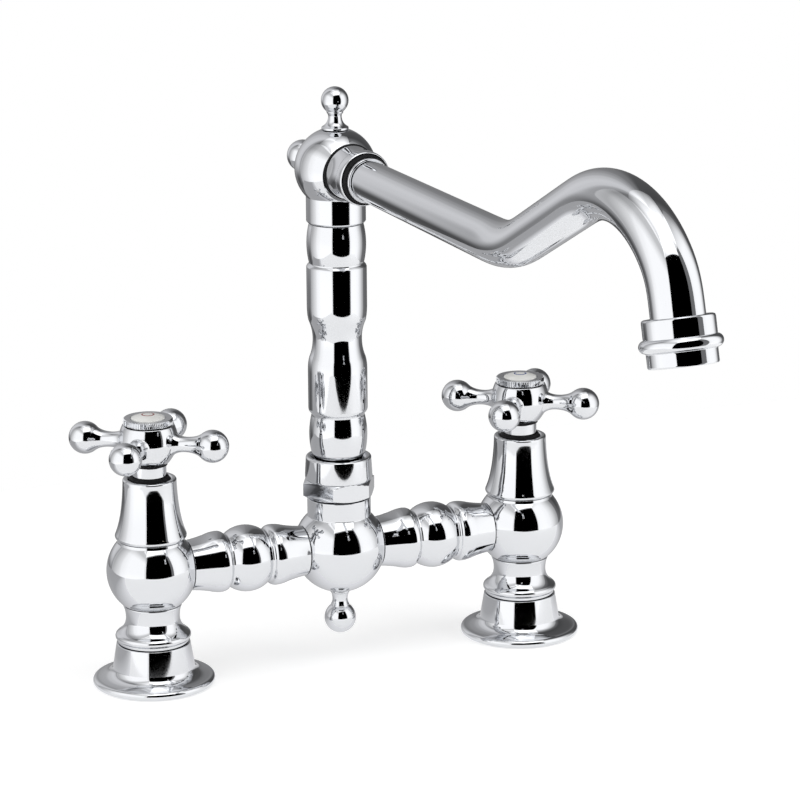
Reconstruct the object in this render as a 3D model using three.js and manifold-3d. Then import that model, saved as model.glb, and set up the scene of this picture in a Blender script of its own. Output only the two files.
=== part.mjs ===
// A deck-mounted bridge kitchen faucet: two valve pillars joined by turned bridge arms to a
// mixing ball, a turned riser with a long swan spout, and a cross handle on each pillar.
// Millimetres. The deck is z = 0, +X runs along the bridge to the cold side, -Y is the front.
import * as THREE from 'three';
import { mergeVertices } from 'three/addons/utils/BufferGeometryUtils.js';
import Module from 'manifold-3d';

const wasm = await Module();
wasm.setup();

// ---- Driving dimensions -------------------------------------------------------------------
const INLET_CENTRES = 180; // distance between the two pillar axes
const BRIDGE_HEIGHT = 52.7; // axis of the bridge arms above the deck
const HANDLE_HEIGHT = 112; // axis of the handle arms above the deck
const SPOUT_HEIGHT = 229; // centre of the spout ball above the deck
const FIT = 0.3; // clearance between parts that touch, seat or run on each other
const WATERWAY = 5; // bore radius of the inlet passages

const EDGE = 0.3; // step of the small breaks and roundings on turned edges
const THREAD_GAP = 0.4; // room round a thread or a pushed-in end
const FACETS = 12; // sides of each turned piece, alike so that nested pieces line up
const SEAL_GAP = 0.2; // room on each side of an O-ring in its groove

// Base flange, gasket, inlet socket and pedestal
const FLANGE = { radius: 27.5, edge: 3.7, dish: 4.9, bellRoot: 18.2, bellRootHeight: 11.5 };
const BELL = { topRadius: 16.5, top: 19.3, wall: 2.2, crown: 2.5, hollowRoot: 17 };
const GASKET = { radius: 24, inner: 17.3, thickness: 1.7 };
const SOCKET = { radius: 10, bore: 7.2, start: 1, depth: 12, engagement: 4.5 };
const BEAD = { radius: 16.95, section: 2.75 };
const WAIST = { radius: 12.05, share: 0.487, throat: 1.7, flare: 2.5, shoulder: 14.4, topRadius: 12.9 };
const PEDESTAL_SPIGOT = { radius: 8.5, length: 4 };

// Valve body and the cartridge in it; foot, floor, shoulder and top are above the bridge axis
const VALVE = { radius: 20.2, cavity: 11, neckRadius: 14.9, foot: -15.4, floor: -8.7, shoulder: 13.5,
  top: 14.7 };
const SEAT_SEAL = { inner: 6, outer: 10.4, thickness: 2 };
const DISC = { radius: 9.1, fixedThickness: 3, movingThickness: 2.6, port: 2.4, portOffset: 5 };
const SPINDLE = { base: 9, baseThickness: 2.5, shaft: 4, spline: 3.5, relief: 0.7, insert: 6.1 };
const CARTRIDGE = { radius: 10.7, skirt: 9.7, collar: 13, collarThickness: 2.3, stem: 8.6, below: 2 };
const CARTRIDGE_WINDOW = 3;

// Bonnet over the cartridge, and the sleeve under the handle; shares are of the bonnet's height
const BONNET = { lip: 16.05, lipHeight: 2.4, rim: 11.9, rimHeight: 2, belowHub: 6.4, mouth: 9.2, roof: 2 };
const BONNET_SHARE = { waist: 0.4424, ledge: 0.5144 };
const BONNET_WAIST = 12.9;
const SLEEVE = { radius: 7.6, aboveLedge: 1.5 };

// Cross handle, its screw, the knurled index ring and the porcelain button
const HUB = { radius: 13.2, foot: 8.5, topRadius: 11.5, below: 10.1, above: 7.9 };
const HUB_BORE = { counterbore: 6.5, web: 3.7 };
const ARM = { root: 4.2, rootAt: 9, neck: 3.5, neckAt: 19.5, ball: 7.4, ballAt: 29.8, turn: -38 };
const SCREW = { radius: 1.9, head: 5.6, headThickness: 2.9, engagement: 5, hole: 10 };
const INDEX_RING = { radius: 11.05, thickness: 2.9, floor: 1.2, spigot: 6.2, spigotWall: 1,
  spigotLength: 3.2 };
const BUTTON = { radius: 7.55, edge: 1.5, dome: 1.5 };

// Bridge arms and the mixing ball; the ball's floor and neck are above the bridge axis
const BRIDGE = { end: 11.3, shoulder: 13.8, shoulderAt: 14.2, shoulderRise: 2.2, groove: 12.6,
  grooveAt: 9.6 };
const BULB = { radius: 15.1, half: 8.5, foot: 12.9 };
const SPIGOT = { radius: 7.9, length: 5.5, bore: 4.8, groove: 6.5, grooveAt: 1.6, grooveWidth: 2.1 };
const ARM_SEAL = { section: 0.75 };
const MIXER = { radius: 21, neck: 14.45, thread: 13, floor: -6.7, neckTop: 23.7, bore: 9.7 };

// Union nut and thrust ring; heights are above the bridge axis
const NUT = { acrossFlats: 30, hexBottom: 24.5, hexTop: 32.7, collar: 15.2, lip: 15.4, band: 3 };
const NUT_SEAT = { height: 38.6, rim: 4.6, hole: 11.9, recess: 12.9, recessDepth: 1.9, chamfer: 1.3 };
const THRUST = { groove: 8.2, outer: 12.7, thickness: 2.7 };

// Riser: its foot and its seals are above the bridge axis, its bulb above the nut, and its shares
// are of the shaft between the two bulbs
const RISER = { bore: 5.8, bottom: 13.3, spigot: 9.2, journal: 11.3, journalAbove: 0.7 };
const RISER_SEAL = { groove: 7.4, section: 0.75, width: 2.2, heights: [18.4, 27.4] };
const RISER_BULB = { radius: 13.1, foot: 12.15, above: 1.5, length: 17 };
const RISER_GROOVE = { radius: 12, above: 1 };
const RISER_LOWER = { radius: 13.35, above: 2.4, share: 0.336 };
const RISER_WAIST = { radius: 11.05, share: 0.497 };
const RISER_UPPER = { radius: 13.5, share: 0.644, below: 1.6 };
const RISER_TOP_BULB = { radius: 13.3, foot: 12.4, length: 16.2, below: 1.4 };
const RISER_TOP = { radius: 12.3, spigot: 9, spigotLength: 8.5 };

// Spout ball, collar, tube and nozzle; the spout rests turned a little off square
const SPOUT_TURN = 5; // degrees from square to the bridge, towards the cold side
const SPOUT_DROP = 2.5; // degrees that the tube leaves the ball below level
const BALL = { radius: 18.6, collar: 13.3, seat: 25.8, chamber: 6.5, chamberTop: 4, mouth: 10.9,
  mouthDepth: 4 };
const BALL_FACE = { front: 12.7 };
const COLLAR = { spigot: 10.6, start: 7, neck: 11.4, groove: 1.3, band: 12.1, bandEnd: 23.5, lip: 12.5,
  end: 29.7 };
const COLLAR_BORE = { recess: 10.9, recessDepth: 3.2, stop: 8, stopEnd: 8.5 };
const TUBE_SEAL = { inner: 8.1, thickness: 1.4 };
const TUBE_RING = { outer: 10.3, length: 6.2 };
const TUBE = { start: 10.5, rootRadius: 8.9, endRadius: 10.6, wall: 1 };
const TUBE_PATH = { straight: 146, kinkRadius: 50, rise: 28, ramp: 51, crownRadius: 50, crownEnd: -50,
  fallRadius: 30, fall: -76, tail: 7.8 };
const NOZZLE = { radius: 14.1, ring: 16.5, ringSection: 2.6, ringAt: 10.1, tip: 13.6 };
const NOZZLE_INSIDE = { length: 18.6, mouth: 12.3, tubeEngagement: 6 };
const AERATOR = { washer: 1.5, washerInner: 8.5, wall: 1.4, lip: 9.3, lipThickness: 1, recess: 0.6 };
const SCREEN = { thickness: 1.3, hole: 1.5, ringOfHoles: 5.6 };

// Finials: distances are measured from the centre of the ball that each is screwed into
const STUD = { radius: 2.4, length: 8, hole: 2.7 };
const TOP_FINIAL = { base: 6.4, disc: 1, waist: 3.5, waistAt: 23, bead: 4.05, reach: 30.5, ball: 6.3 };
const REAR_FINIAL = { base: 6.4, disc: 1, waist: 3.5, waistAt: 23.5, bead: 4.05, reach: 33.8, ball: 6.6 };
const LOW_FINIAL = { base: 4.6, disc: 0.6, waist: 3.45, waistAt: 24.6, bead: 4.1, reach: 33.2, ball: 7.05 };

// ---- Finishes -----------------------------------------------------------------------------
const CHROME = { color: 0xd9dce0, roughness: 0.08, metalness: 1 };
const BRASS = { color: 0xc9a860, roughness: 0.35, metalness: 1 };
const RUBBER = { color: 0x1c1c1d, roughness: 0.8, metalness: 0 };
const CERAMIC = { color: 0xf1f1ec, roughness: 0.4, metalness: 0 };
const PORCELAIN = { color: 0xf6f5f0, roughness: 0.15, metalness: 0 };
const ACETAL = { color: 0xe6e3da, roughness: 0.5, metalness: 0 };
const STEEL = { color: 0xb9bcc0, roughness: 0.3, metalness: 1 };

// ---- Shape helpers ------------------------------------------------------------------------
const rad = THREE.MathUtils.degToRad;

// An arc in the (radius, height) plane, given by its centre and its angles in degrees
function arc(r, z, size, from, to, steps) {
  const points = [];
  for (let i = 0; i <= steps; i += 1) {
    const angle = rad(from + ((to - from) * i) / steps);
    points.push([r + size * Math.cos(angle), z + size * Math.sin(angle)]);
  }
  return points;
}

// A curve from one outline point to another that leans towards a third
function sweep(from, lean, to, steps) {
  const ends = [from, lean, to].map(([r, z]) => new THREE.Vector2(r, z));
  return new THREE.QuadraticBezierCurve(...ends).getPoints(steps).map((p) => [p.x, p.y]);
}

// A barrel between two heights: foot radius at both ends and full radius in the middle
function barrel(foot, full, bottom, top, steps) {
  const middle = (bottom + top) / 2;
  const half = (top - bottom) / 2;
  const rise = full - foot;
  const size = (half * half + rise * rise) / (2 * rise);
  const spread = THREE.MathUtils.radToDeg(Math.asin(half / size));
  return arc(full - size, middle, size, -spread, spread, steps);
}

// A solid turned about +Z from an outline that runs up its outside and down its inside
function turned(outline, facets = FACETS) {
  const points = outline.map(([r, z]) => new THREE.Vector2(r, z));
  const closesOnAxis = outline[0][0] === 0;
  if (!closesOnAxis) points.push(points[0].clone());
  const geometry = new THREE.LatheGeometry(points, facets);
  geometry.rotateX(Math.PI / 2);
  return geometry;
}

// A ring of round section, such as an O-ring
function roundRing(radius, section, height) {
  return turned(arc(radius, height, section, 0, 270, 3));
}

function toSolid(geometry) {
  const bare = geometry.clone();
  bare.deleteAttribute('normal');
  bare.deleteAttribute('uv');
  const merged = mergeVertices(bare);
  const corners = merged.index.array;
  const triangles = [];
  for (let i = 0; i < corners.length; i += 3) {
    const [a, b, c] = [corners[i], corners[i + 1], corners[i + 2]];
    if (a !== b && b !== c && c !== a) triangles.push(a, b, c);
  }
  return new wasm.Manifold(new wasm.Mesh({
    numProp: 3,
    vertProperties: new Float32Array(merged.attributes.position.array),
    triVerts: new Uint32Array(triangles),
  }));
}

function toGeometry(solid) {
  const mesh = solid.getMesh();
  const geometry = new THREE.BufferGeometry();
  geometry.setAttribute('position', new THREE.BufferAttribute(mesh.vertProperties, 3));
  geometry.setIndex(new THREE.BufferAttribute(mesh.triVerts, 1));
  geometry.computeVertexNormals();
  return geometry;
}

const cut = (geometry, ...tools) => toGeometry(
  tools.reduce((solid, tool) => solid.subtract(toSolid(tool)), toSolid(geometry)));

const join = (geometry, ...others) => toGeometry(
  others.reduce((solid, other) => solid.add(toSolid(other)), toSolid(geometry)));

// A stepped drill along +Z: a hole from `bottom`, and a wide spot face from `face` outwards
function spotDrill(hole, bottom, face, faceRadius) {
  const out = face + faceRadius;
  return turned([[0, bottom], [hole, bottom], [hole, face], [faceRadius, face],
    [faceRadius, out], [0, out]]);
}

function named(name, geometry, finish) {
  const mesh = new THREE.Mesh(geometry, new THREE.MeshStandardMaterial(finish));
  mesh.name = name;
  return mesh;
}

// Height or distance at which a sphere has a given radius about the same axis
const chord = (sphere, radius) => Math.sqrt(sphere * sphere - radius * radius);

// ---- Sizes that follow from the ones above --------------------------------------------------
const halfCentres = INLET_CENTRES / 2;
const beadCentre = BELL.top + FIT + BEAD.section;
const waistStart = beadCentre + BEAD.section + SEAL_GAP;
const valveFoot = BRIDGE_HEIGHT + VALVE.foot;
const waistTop = valveFoot - FIT;
const waistHeight = waistStart + WAIST.share * (waistTop - waistStart);
const valveFace = chord(VALVE.radius, BRIDGE.end);
const mixerFace = chord(MIXER.radius, BRIDGE.end);
const armHalf = (halfCentres - valveFace - mixerFace) / 2 - FIT;
const armCentre = mixerFace + FIT + armHalf;
const spigotSocket = SPIGOT.radius + FIT + SEAL_GAP;
const tubeBore = TUBE.rootRadius + THREAD_GAP;

// ---- Pillars --------------------------------------------------------------------------------

// Soft ring that seals the flange to the deck, flush with the flange's foot
function baseGasket() {
  return turned([[GASKET.inner, 0], [GASKET.radius, 0], [GASKET.radius, GASKET.thickness],
    [GASKET.inner, GASKET.thickness]]);
}

// Dished flange with a rounded edge that sweeps up into a bell; hollow beneath
function baseFlange() {
  const edge = FLANGE.edge / 2;
  const seat = GASKET.thickness + FIT;
  const hole = SOCKET.radius + FIT;
  return turned([
    [GASKET.radius + FIT, 0],
    ...arc(FLANGE.radius - edge, edge, edge, -90, 90, 3),
    ...sweep([FLANGE.radius - edge - 2 * EDGE, FLANGE.edge], [FLANGE.bellRoot + 3 * EDGE, FLANGE.dish],
      [FLANGE.bellRoot, FLANGE.bellRootHeight], 3),
    [(FLANGE.bellRoot + BELL.topRadius) / 2 + EDGE, (FLANGE.bellRootHeight + BELL.top) / 2],
    [BELL.topRadius, BELL.top],
    [hole, BELL.top],
    [hole, BELL.top - BELL.crown],
    [BELL.topRadius - BELL.wall, BELL.top - BELL.crown - 2 * EDGE],
    [FLANGE.bellRoot - BELL.wall, FLANGE.bellRootHeight - BELL.wall],
    [BELL.hollowRoot, seat + GASKET.thickness],
    [BELL.hollowRoot, seat],
    [GASKET.radius + FIT, seat],
  ]);
}

// Threaded brass socket that takes the supply hose from below and carries the pedestal
function inletSocket() {
  const top = BELL.top + FIT + SOCKET.engagement;
  const step = SOCKET.start + SOCKET.depth;
  return turned([[SOCKET.bore, SOCKET.start], [SOCKET.radius, SOCKET.start], [SOCKET.radius, top],
    [WATERWAY, top], [WATERWAY, step], [SOCKET.bore, step]]);
}

// Round bead over a concave waist, with a spigot that screws into the valve body
function pedestal() {
  const bottom = BELL.top + FIT;
  const step = bottom + SOCKET.engagement + FIT;
  const spigotTop = waistTop + PEDESTAL_SPIGOT.length;
  return turned([
    [SOCKET.radius + FIT, bottom],
    ...arc(BEAD.radius - BEAD.section, beadCentre, BEAD.section, -90, 75, 5),
    ...sweep([WAIST.shoulder, waistStart], [WAIST.radius, waistStart + WAIST.throat],
      [WAIST.radius, waistHeight], 2),
    ...sweep([WAIST.radius, waistHeight], [WAIST.radius, waistTop - WAIST.flare],
      [WAIST.topRadius, waistTop], 2).slice(1),
    [PEDESTAL_SPIGOT.radius, waistTop],
    [PEDESTAL_SPIGOT.radius, spigotTop],
    [WATERWAY, spigotTop],
    [WATERWAY, step],
    [SOCKET.radius + FIT, step],
  ]);
}

// Heights in the pillar, from the valve body's floor up to the handle
const valveFloor = BRIDGE_HEIGHT + VALVE.floor;
const valveTop = BRIDGE_HEIGHT + VALVE.top;
const sealBottom = valveFloor + FIT;
const fixedBottom = sealBottom + SEAT_SEAL.thickness + FIT;
const movingBottom = fixedBottom + DISC.fixedThickness + FIT;
const spindleBottom = movingBottom + DISC.movingThickness + FIT;
const spindleShoulder = spindleBottom + SPINDLE.baseThickness;
const cartridgeCollar = valveTop + FIT;
const collarTop = cartridgeCollar + CARTRIDGE.collarThickness;
const hubBottom = HANDLE_HEIGHT - HUB.below;
const bonnetTop = hubBottom - BONNET.belowHub;
const bonnetHeight = bonnetTop - cartridgeCollar;
const ledge = cartridgeCollar + BONNET_SHARE.ledge * bonnetHeight;
const cartridgeTop = ledge - CARTRIDGE.below;
const sleeveTop = hubBottom - FIT;
const splineFoot = hubBottom - SPINDLE.relief;
const spindleTop = hubBottom + SPINDLE.insert;

// Ball-shaped valve body with a cavity for the cartridge and a side port to the bridge
function valveBody(towardsCentre) {
  const spigotTop = valveFoot + PEDESTAL_SPIGOT.length;
  const socket = PEDESTAL_SPIGOT.radius + FIT;
  const low = THREE.MathUtils.radToDeg(Math.asin(VALVE.foot / VALVE.radius));
  const high = THREE.MathUtils.radToDeg(Math.asin(VALVE.shoulder / VALVE.radius));
  const body = turned([
    [socket, valveFoot],
    ...arc(0, BRIDGE_HEIGHT, VALVE.radius, low, high, 7),
    [VALVE.neckRadius, valveTop],
    [VALVE.cavity, valveTop],
    [VALVE.cavity, valveFloor],
    [WATERWAY, valveFloor],
    [WATERWAY, spigotTop],
    [socket, spigotTop],
  ]);
  const port = spotDrill(spigotSocket, 0, valveFace, BRIDGE.end + 2);
  port.rotateY((towardsCentre * Math.PI) / 2);
  port.translate(0, 0, BRIDGE_HEIGHT);
  return cut(body, port);
}

function seatSeal() {
  const top = sealBottom + SEAT_SEAL.thickness;
  return turned([[SEAT_SEAL.inner, sealBottom], [SEAT_SEAL.outer, sealBottom],
    [SEAT_SEAL.outer, top], [SEAT_SEAL.inner, top]]);
}

// Polished ceramic disc with two round ports; the moving one turns against the fixed one
function ceramicDisc(bottom, thickness) {
  const top = bottom + thickness;
  const disc = turned([[0, bottom], [DISC.radius, bottom], [DISC.radius, top], [0, top]]);
  const ports = [-1, 1].map((side) => {
    const port = turned([[0, bottom - FIT], [DISC.port, bottom - FIT], [DISC.port, top + FIT],
      [0, top + FIT]], 8);
    port.translate(0, side * DISC.portOffset, 0);
    return port;
  });
  return cut(disc, ...ports);
}

// Brass cartridge: a skirt round the discs, a collar on the valve body and a stem
function cartridgeBody() {
  const ceiling = spindleShoulder + FIT;
  const shaft = SPINDLE.shaft + FIT;
  const body = turned([
    [CARTRIDGE.skirt, fixedBottom],
    [CARTRIDGE.radius, fixedBottom],
    [CARTRIDGE.radius, cartridgeCollar],
    [CARTRIDGE.collar, cartridgeCollar],
    [CARTRIDGE.collar, collarTop],
    [CARTRIDGE.stem, collarTop],
    [CARTRIDGE.stem, cartridgeTop],
    [shaft, cartridgeTop],
    [shaft, ceiling],
    [CARTRIDGE.skirt, ceiling],
  ]);
  const reach = CARTRIDGE.radius + FIT;
  const window = turned([[0, -reach], [CARTRIDGE_WINDOW, -reach], [CARTRIDGE_WINDOW, reach],
    [0, reach]], 8);
  window.rotateY(Math.PI / 2);
  window.translate(0, 0, movingBottom + DISC.movingThickness / 2);
  return cut(body, window);
}

// Bell-shaped cover over the cartridge, with a rounded lip and a deep mouth
function bonnet() {
  const inside = CARTRIDGE.collar + FIT;
  const waist = cartridgeCollar + BONNET_SHARE.waist * bonnetHeight;
  return turned([
    [inside, cartridgeCollar],
    [BONNET.lip - 3 * EDGE, cartridgeCollar],
    [BONNET.lip, cartridgeCollar + 3 * EDGE],
    ...sweep([BONNET.lip, cartridgeCollar + BONNET.lipHeight], [BONNET_WAIST, waist],
      [BONNET.rim + EDGE, bonnetTop - BONNET.rimHeight], 4),
    [BONNET.rim, bonnetTop - 2 * EDGE],
    [BONNET.rim - 3 * EDGE, bonnetTop],
    [BONNET.mouth + 3 * EDGE, bonnetTop],
    [BONNET.mouth, bonnetTop - 3 * EDGE],
    [BONNET.mouth, ledge],
    [inside, collarTop + BONNET.roof],
  ]);
}

// ---- Handles --------------------------------------------------------------------------------
const hubTop = HANDLE_HEIGHT + HUB.above;
const spindleSocketTop = spindleTop + FIT;
const screwSeat = spindleSocketTop + HUB_BORE.web;
const ringBottom = hubTop + FIT;

// Valve spindle: a driving plate on the moving disc, a shaft and a drilled, splined end
function spindle() {
  const holeFloor = spindleTop - SCREW.hole;
  return turned([
    [0, spindleBottom],
    [SPINDLE.base, spindleBottom],
    [SPINDLE.base, spindleShoulder],
    [SPINDLE.shaft, spindleShoulder],
    [SPINDLE.shaft, splineFoot],
    [SPINDLE.spline, splineFoot + 2 * EDGE],
    [SPINDLE.spline, spindleTop],
    [SCREW.radius + FIT, spindleTop],
    [SCREW.radius + FIT, holeFloor],
    [0, holeFloor],
  ]);
}

function handleSleeve() {
  const bore = SPINDLE.shaft + FIT;
  const bottom = ledge + SLEEVE.aboveLedge;
  return turned([[bore, bottom], [SLEEVE.radius, bottom], [SLEEVE.radius, sleeveTop],
    [bore, sleeveTop]]);
}

// Onion-shaped hub with four waisted arms that end in balls
function handleCross() {
  const hub = turned([
    [SPINDLE.spline + FIT, hubBottom],
    [HUB.foot, hubBottom],
    ...sweep([HUB.foot + 2 * EDGE, hubBottom + EDGE],
      [HUB.radius - 2 * EDGE, HANDLE_HEIGHT - HUB.below / 2], [HUB.radius, HANDLE_HEIGHT], 3),
    ...sweep([HUB.radius, HANDLE_HEIGHT], [HUB.radius, HANDLE_HEIGHT + HUB.above / 2],
      [HUB.topRadius, hubTop], 2).slice(1),
    [HUB_BORE.counterbore, hubTop],
    [HUB_BORE.counterbore, screwSeat],
    [SCREW.radius + FIT, screwSeat],
    [SCREW.radius + FIT, spindleSocketTop],
    [SPINDLE.spline + FIT, spindleSocketTop],
  ]);
  const ballFoot = 36;
  const arms = [0, 1, 2, 3].map((quarter) => {
    const arm = turned([
      [0, ARM.rootAt],
      [ARM.root, ARM.rootAt],
      ...sweep([ARM.root - EDGE, HUB.radius], [ARM.neck, (HUB.radius + ARM.neckAt) / 2],
        [ARM.neck, ARM.neckAt], 2),
      ...arc(0, ARM.ballAt, ARM.ball, -90 + ballFoot, 90, 5).slice(0, -1),
      [0, ARM.ballAt + ARM.ball],
    ], 8);
    arm.rotateY(Math.PI / 2);
    arm.rotateZ(rad(ARM.turn + 90 * quarter));
    arm.translate(0, 0, HANDLE_HEIGHT);
    return arm;
  });
  return join(hub, ...arms);
}

function handleScrew() {
  const seat = screwSeat + FIT;
  const head = seat + SCREW.headThickness;
  const tip = spindleTop - SCREW.engagement;
  return turned([[0, tip], [SCREW.radius, tip], [SCREW.radius, seat], [SCREW.head, seat],
    [SCREW.head, head - 2 * EDGE], [SCREW.head - 2 * EDGE, head], [0, head]]);
}

// Knurled ring that is pushed into the hub and holds the button
function indexRing() {
  const spigotBottom = ringBottom - INDEX_RING.spigotLength;
  const top = ringBottom + INDEX_RING.thickness;
  const floor = ringBottom + INDEX_RING.floor;
  const pocket = BUTTON.radius + FIT;
  return turned([
    [INDEX_RING.spigot - INDEX_RING.spigotWall, spigotBottom],
    [INDEX_RING.spigot, spigotBottom],
    [INDEX_RING.spigot, ringBottom],
    [INDEX_RING.radius, ringBottom],
    [INDEX_RING.radius, top - EDGE],
    [INDEX_RING.radius - EDGE, top],
    [pocket, top],
    [pocket, floor],
    [INDEX_RING.spigot - INDEX_RING.spigotWall, floor],
  ]);
}

// Slightly domed porcelain button
function indexButton() {
  const bottom = ringBottom + INDEX_RING.floor + FIT;
  const edge = bottom + BUTTON.edge;
  return turned([[0, bottom], [BUTTON.radius, bottom], [BUTTON.radius, edge],
    [BUTTON.radius * 0.75, edge + BUTTON.dome * 0.5], [BUTTON.radius * 0.4, edge + BUTTON.dome * 0.86],
    [0, edge + BUTTON.dome]]);
}

// ---- Bridge ---------------------------------------------------------------------------------

// Turned arm: a cone, a round shoulder and a groove on each side of a central bulb
function bridgeArm() {
  const half = [
    ...barrel(BULB.foot, BULB.radius, -BULB.half, BULB.half, 4).slice(2),
    [BRIDGE.groove, BRIDGE.grooveAt],
    [BRIDGE.groove + EDGE, BRIDGE.grooveAt + 3 * EDGE],
    [BRIDGE.shoulder - EDGE, BRIDGE.shoulderAt - BRIDGE.shoulderRise],
    [BRIDGE.shoulder, BRIDGE.shoulderAt],
    [BRIDGE.end, armHalf],
    [SPIGOT.radius, armHalf],
    [SPIGOT.radius, armHalf + SPIGOT.grooveAt],
    [SPIGOT.groove, armHalf + SPIGOT.grooveAt],
    [SPIGOT.groove, armHalf + SPIGOT.grooveAt + SPIGOT.grooveWidth],
    [SPIGOT.radius, armHalf + SPIGOT.grooveAt + SPIGOT.grooveWidth],
    [SPIGOT.radius, armHalf + SPIGOT.length],
    [SPIGOT.bore, armHalf + SPIGOT.length],
  ];
  const mirrored = half.slice(1).reverse().map(([r, z]) => [r, -z]);
  return turned([...mirrored, ...half]);
}

function armSeal() {
  const groove = SPIGOT.groove + SEAL_GAP + ARM_SEAL.section;
  return roundRing(groove, ARM_SEAL.section, 0);
}

// Heights of the union nut's seat, its rim and the threaded neck that it screws on
const nutSeat = BRIDGE_HEIGHT + NUT_SEAT.height;
const nutTop = nutSeat + NUT_SEAT.rim;
const thrustBottom = nutSeat - FIT - THRUST.thickness;
const threadTop = thrustBottom - FIT;

// Hollow mixing ball with two side ports, a neck for the union nut and a finial hole below
function mixingBall() {
  const foot = chord(MIXER.radius, LOW_FINIAL.base);
  const drill = foot - STUD.length - FIT;
  const low = THREE.MathUtils.radToDeg(Math.asin(-foot / MIXER.radius));
  const high = THREE.MathUtils.radToDeg(Math.acos(MIXER.neck / MIXER.radius));
  const ball = turned([
    [0, BRIDGE_HEIGHT - drill],
    [STUD.hole, BRIDGE_HEIGHT - drill],
    [STUD.hole, BRIDGE_HEIGHT - foot],
    ...arc(0, BRIDGE_HEIGHT, MIXER.radius, low, high, 8),
    [MIXER.neck, BRIDGE_HEIGHT + MIXER.neckTop],
    [MIXER.thread, BRIDGE_HEIGHT + MIXER.neckTop + EDGE],
    [MIXER.thread, threadTop],
    [MIXER.bore, threadTop],
    [MIXER.bore, BRIDGE_HEIGHT + MIXER.floor],
    [0, BRIDGE_HEIGHT + MIXER.floor],
  ]);
  const ports = [-1, 1].map((side) => {
    const port = spotDrill(spigotSocket, 0, mixerFace, BRIDGE.end + 2);
    port.rotateY((side * Math.PI) / 2);
    port.translate(0, 0, BRIDGE_HEIGHT);
    return port;
  });
  return cut(ball, ...ports);
}

// Ball on a flared, waisted neck, with a stud that screws into the ball that carries it
function finial({ base, disc, waist, waistAt, bead, reach, ball }, carrier) {
  const seat = chord(carrier, base);
  const foot = seat + FIT;
  const neckTop = reach - chord(ball, bead);
  const low = THREE.MathUtils.radToDeg(Math.asin((neckTop - reach) / ball));
  return turned([
    [0, seat - STUD.length],
    [STUD.radius, seat - STUD.length],
    [STUD.radius, foot],
    [base, foot],
    [base, foot + disc],
    ...sweep([base - EDGE, foot + disc + EDGE], [waist, foot + disc + 3 * EDGE], [waist, waistAt], 3),
    [bead, neckTop - EDGE],
    ...arc(0, reach, ball, low, 90, 5).slice(0, -1),
    [0, reach + ball],
  ]);
}

// ---- Riser ----------------------------------------------------------------------------------

// One-piece union nut: a chamfered hexagon below a round collar
function unionNut() {
  const flat = NUT.acrossFlats / 2;
  const corner = flat / Math.cos(rad(30));
  const hexBottom = BRIDGE_HEIGHT + NUT.hexBottom;
  const hexTop = BRIDGE_HEIGHT + NUT.hexTop;
  const hexagon = new THREE.Shape(Array.from({ length: 6 }, (_, i) => new THREE.Vector2(
    corner * Math.cos(rad(60 * i)), corner * Math.sin(rad(60 * i)))));
  const prism = new THREE.ExtrudeGeometry(hexagon, { depth: hexTop - hexBottom, bevelEnabled: false });
  prism.translate(0, 0, hexBottom);
  const chamfer = turned([
    [0, hexBottom],
    [flat, hexBottom],
    [corner + EDGE, hexBottom + NUT_SEAT.chamfer],
    [corner + EDGE, hexTop - NUT_SEAT.chamfer],
    [flat, hexTop],
    [0, hexTop],
  ]);
  const collar = turned([
    [0, hexTop - NUT_SEAT.chamfer],
    [NUT.collar, hexTop - NUT_SEAT.chamfer],
    [NUT.collar, nutTop - NUT.band - 3 * EDGE],
    [NUT.lip, nutTop - NUT.band],
    [NUT.lip, nutTop - 6 * EDGE],
    [NUT.lip - 2 * EDGE, nutTop - 2 * EDGE],
    [NUT.lip - 5 * EDGE, nutTop],
    [0, nutTop],
  ]);
  const threadBore = MIXER.thread + THREAD_GAP;
  const bore = turned([
    [0, hexBottom - FIT],
    [threadBore, hexBottom - FIT],
    [threadBore, nutSeat],
    [NUT_SEAT.hole, nutSeat],
    [NUT_SEAT.hole, nutTop - NUT_SEAT.recessDepth],
    [NUT_SEAT.recess, nutTop - NUT_SEAT.recessDepth],
    [NUT_SEAT.recess, nutTop + FIT],
    [0, nutTop + FIT],
  ]);
  const solid = toSolid(prism).intersect(toSolid(chamfer)).add(toSolid(collar));
  return toGeometry(solid.subtract(toSolid(bore)));
}

// Acetal ring that hangs the riser in the nut and lets it turn
function thrustRing() {
  const inner = THRUST.groove + FIT;
  const top = thrustBottom + THRUST.thickness;
  return turned([[inner, thrustBottom], [THRUST.outer, thrustBottom], [THRUST.outer, top],
    [inner, top]]);
}

// Heights of the riser's parts, from the nut up to the spout ball's seat
const riserTop = SPOUT_HEIGHT - BALL.seat;
const bulbBottom = nutTop + RISER_BULB.above;
const bulbTop = bulbBottom + RISER_BULB.length;
const topBulbTop = riserTop - RISER_TOP_BULB.below;
const topBulbBottom = topBulbTop - RISER_TOP_BULB.length;
const shaftBottom = bulbTop + RISER_GROOVE.above;
const sealHeights = RISER_SEAL.heights.map((height) => BRIDGE_HEIGHT + height);

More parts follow.
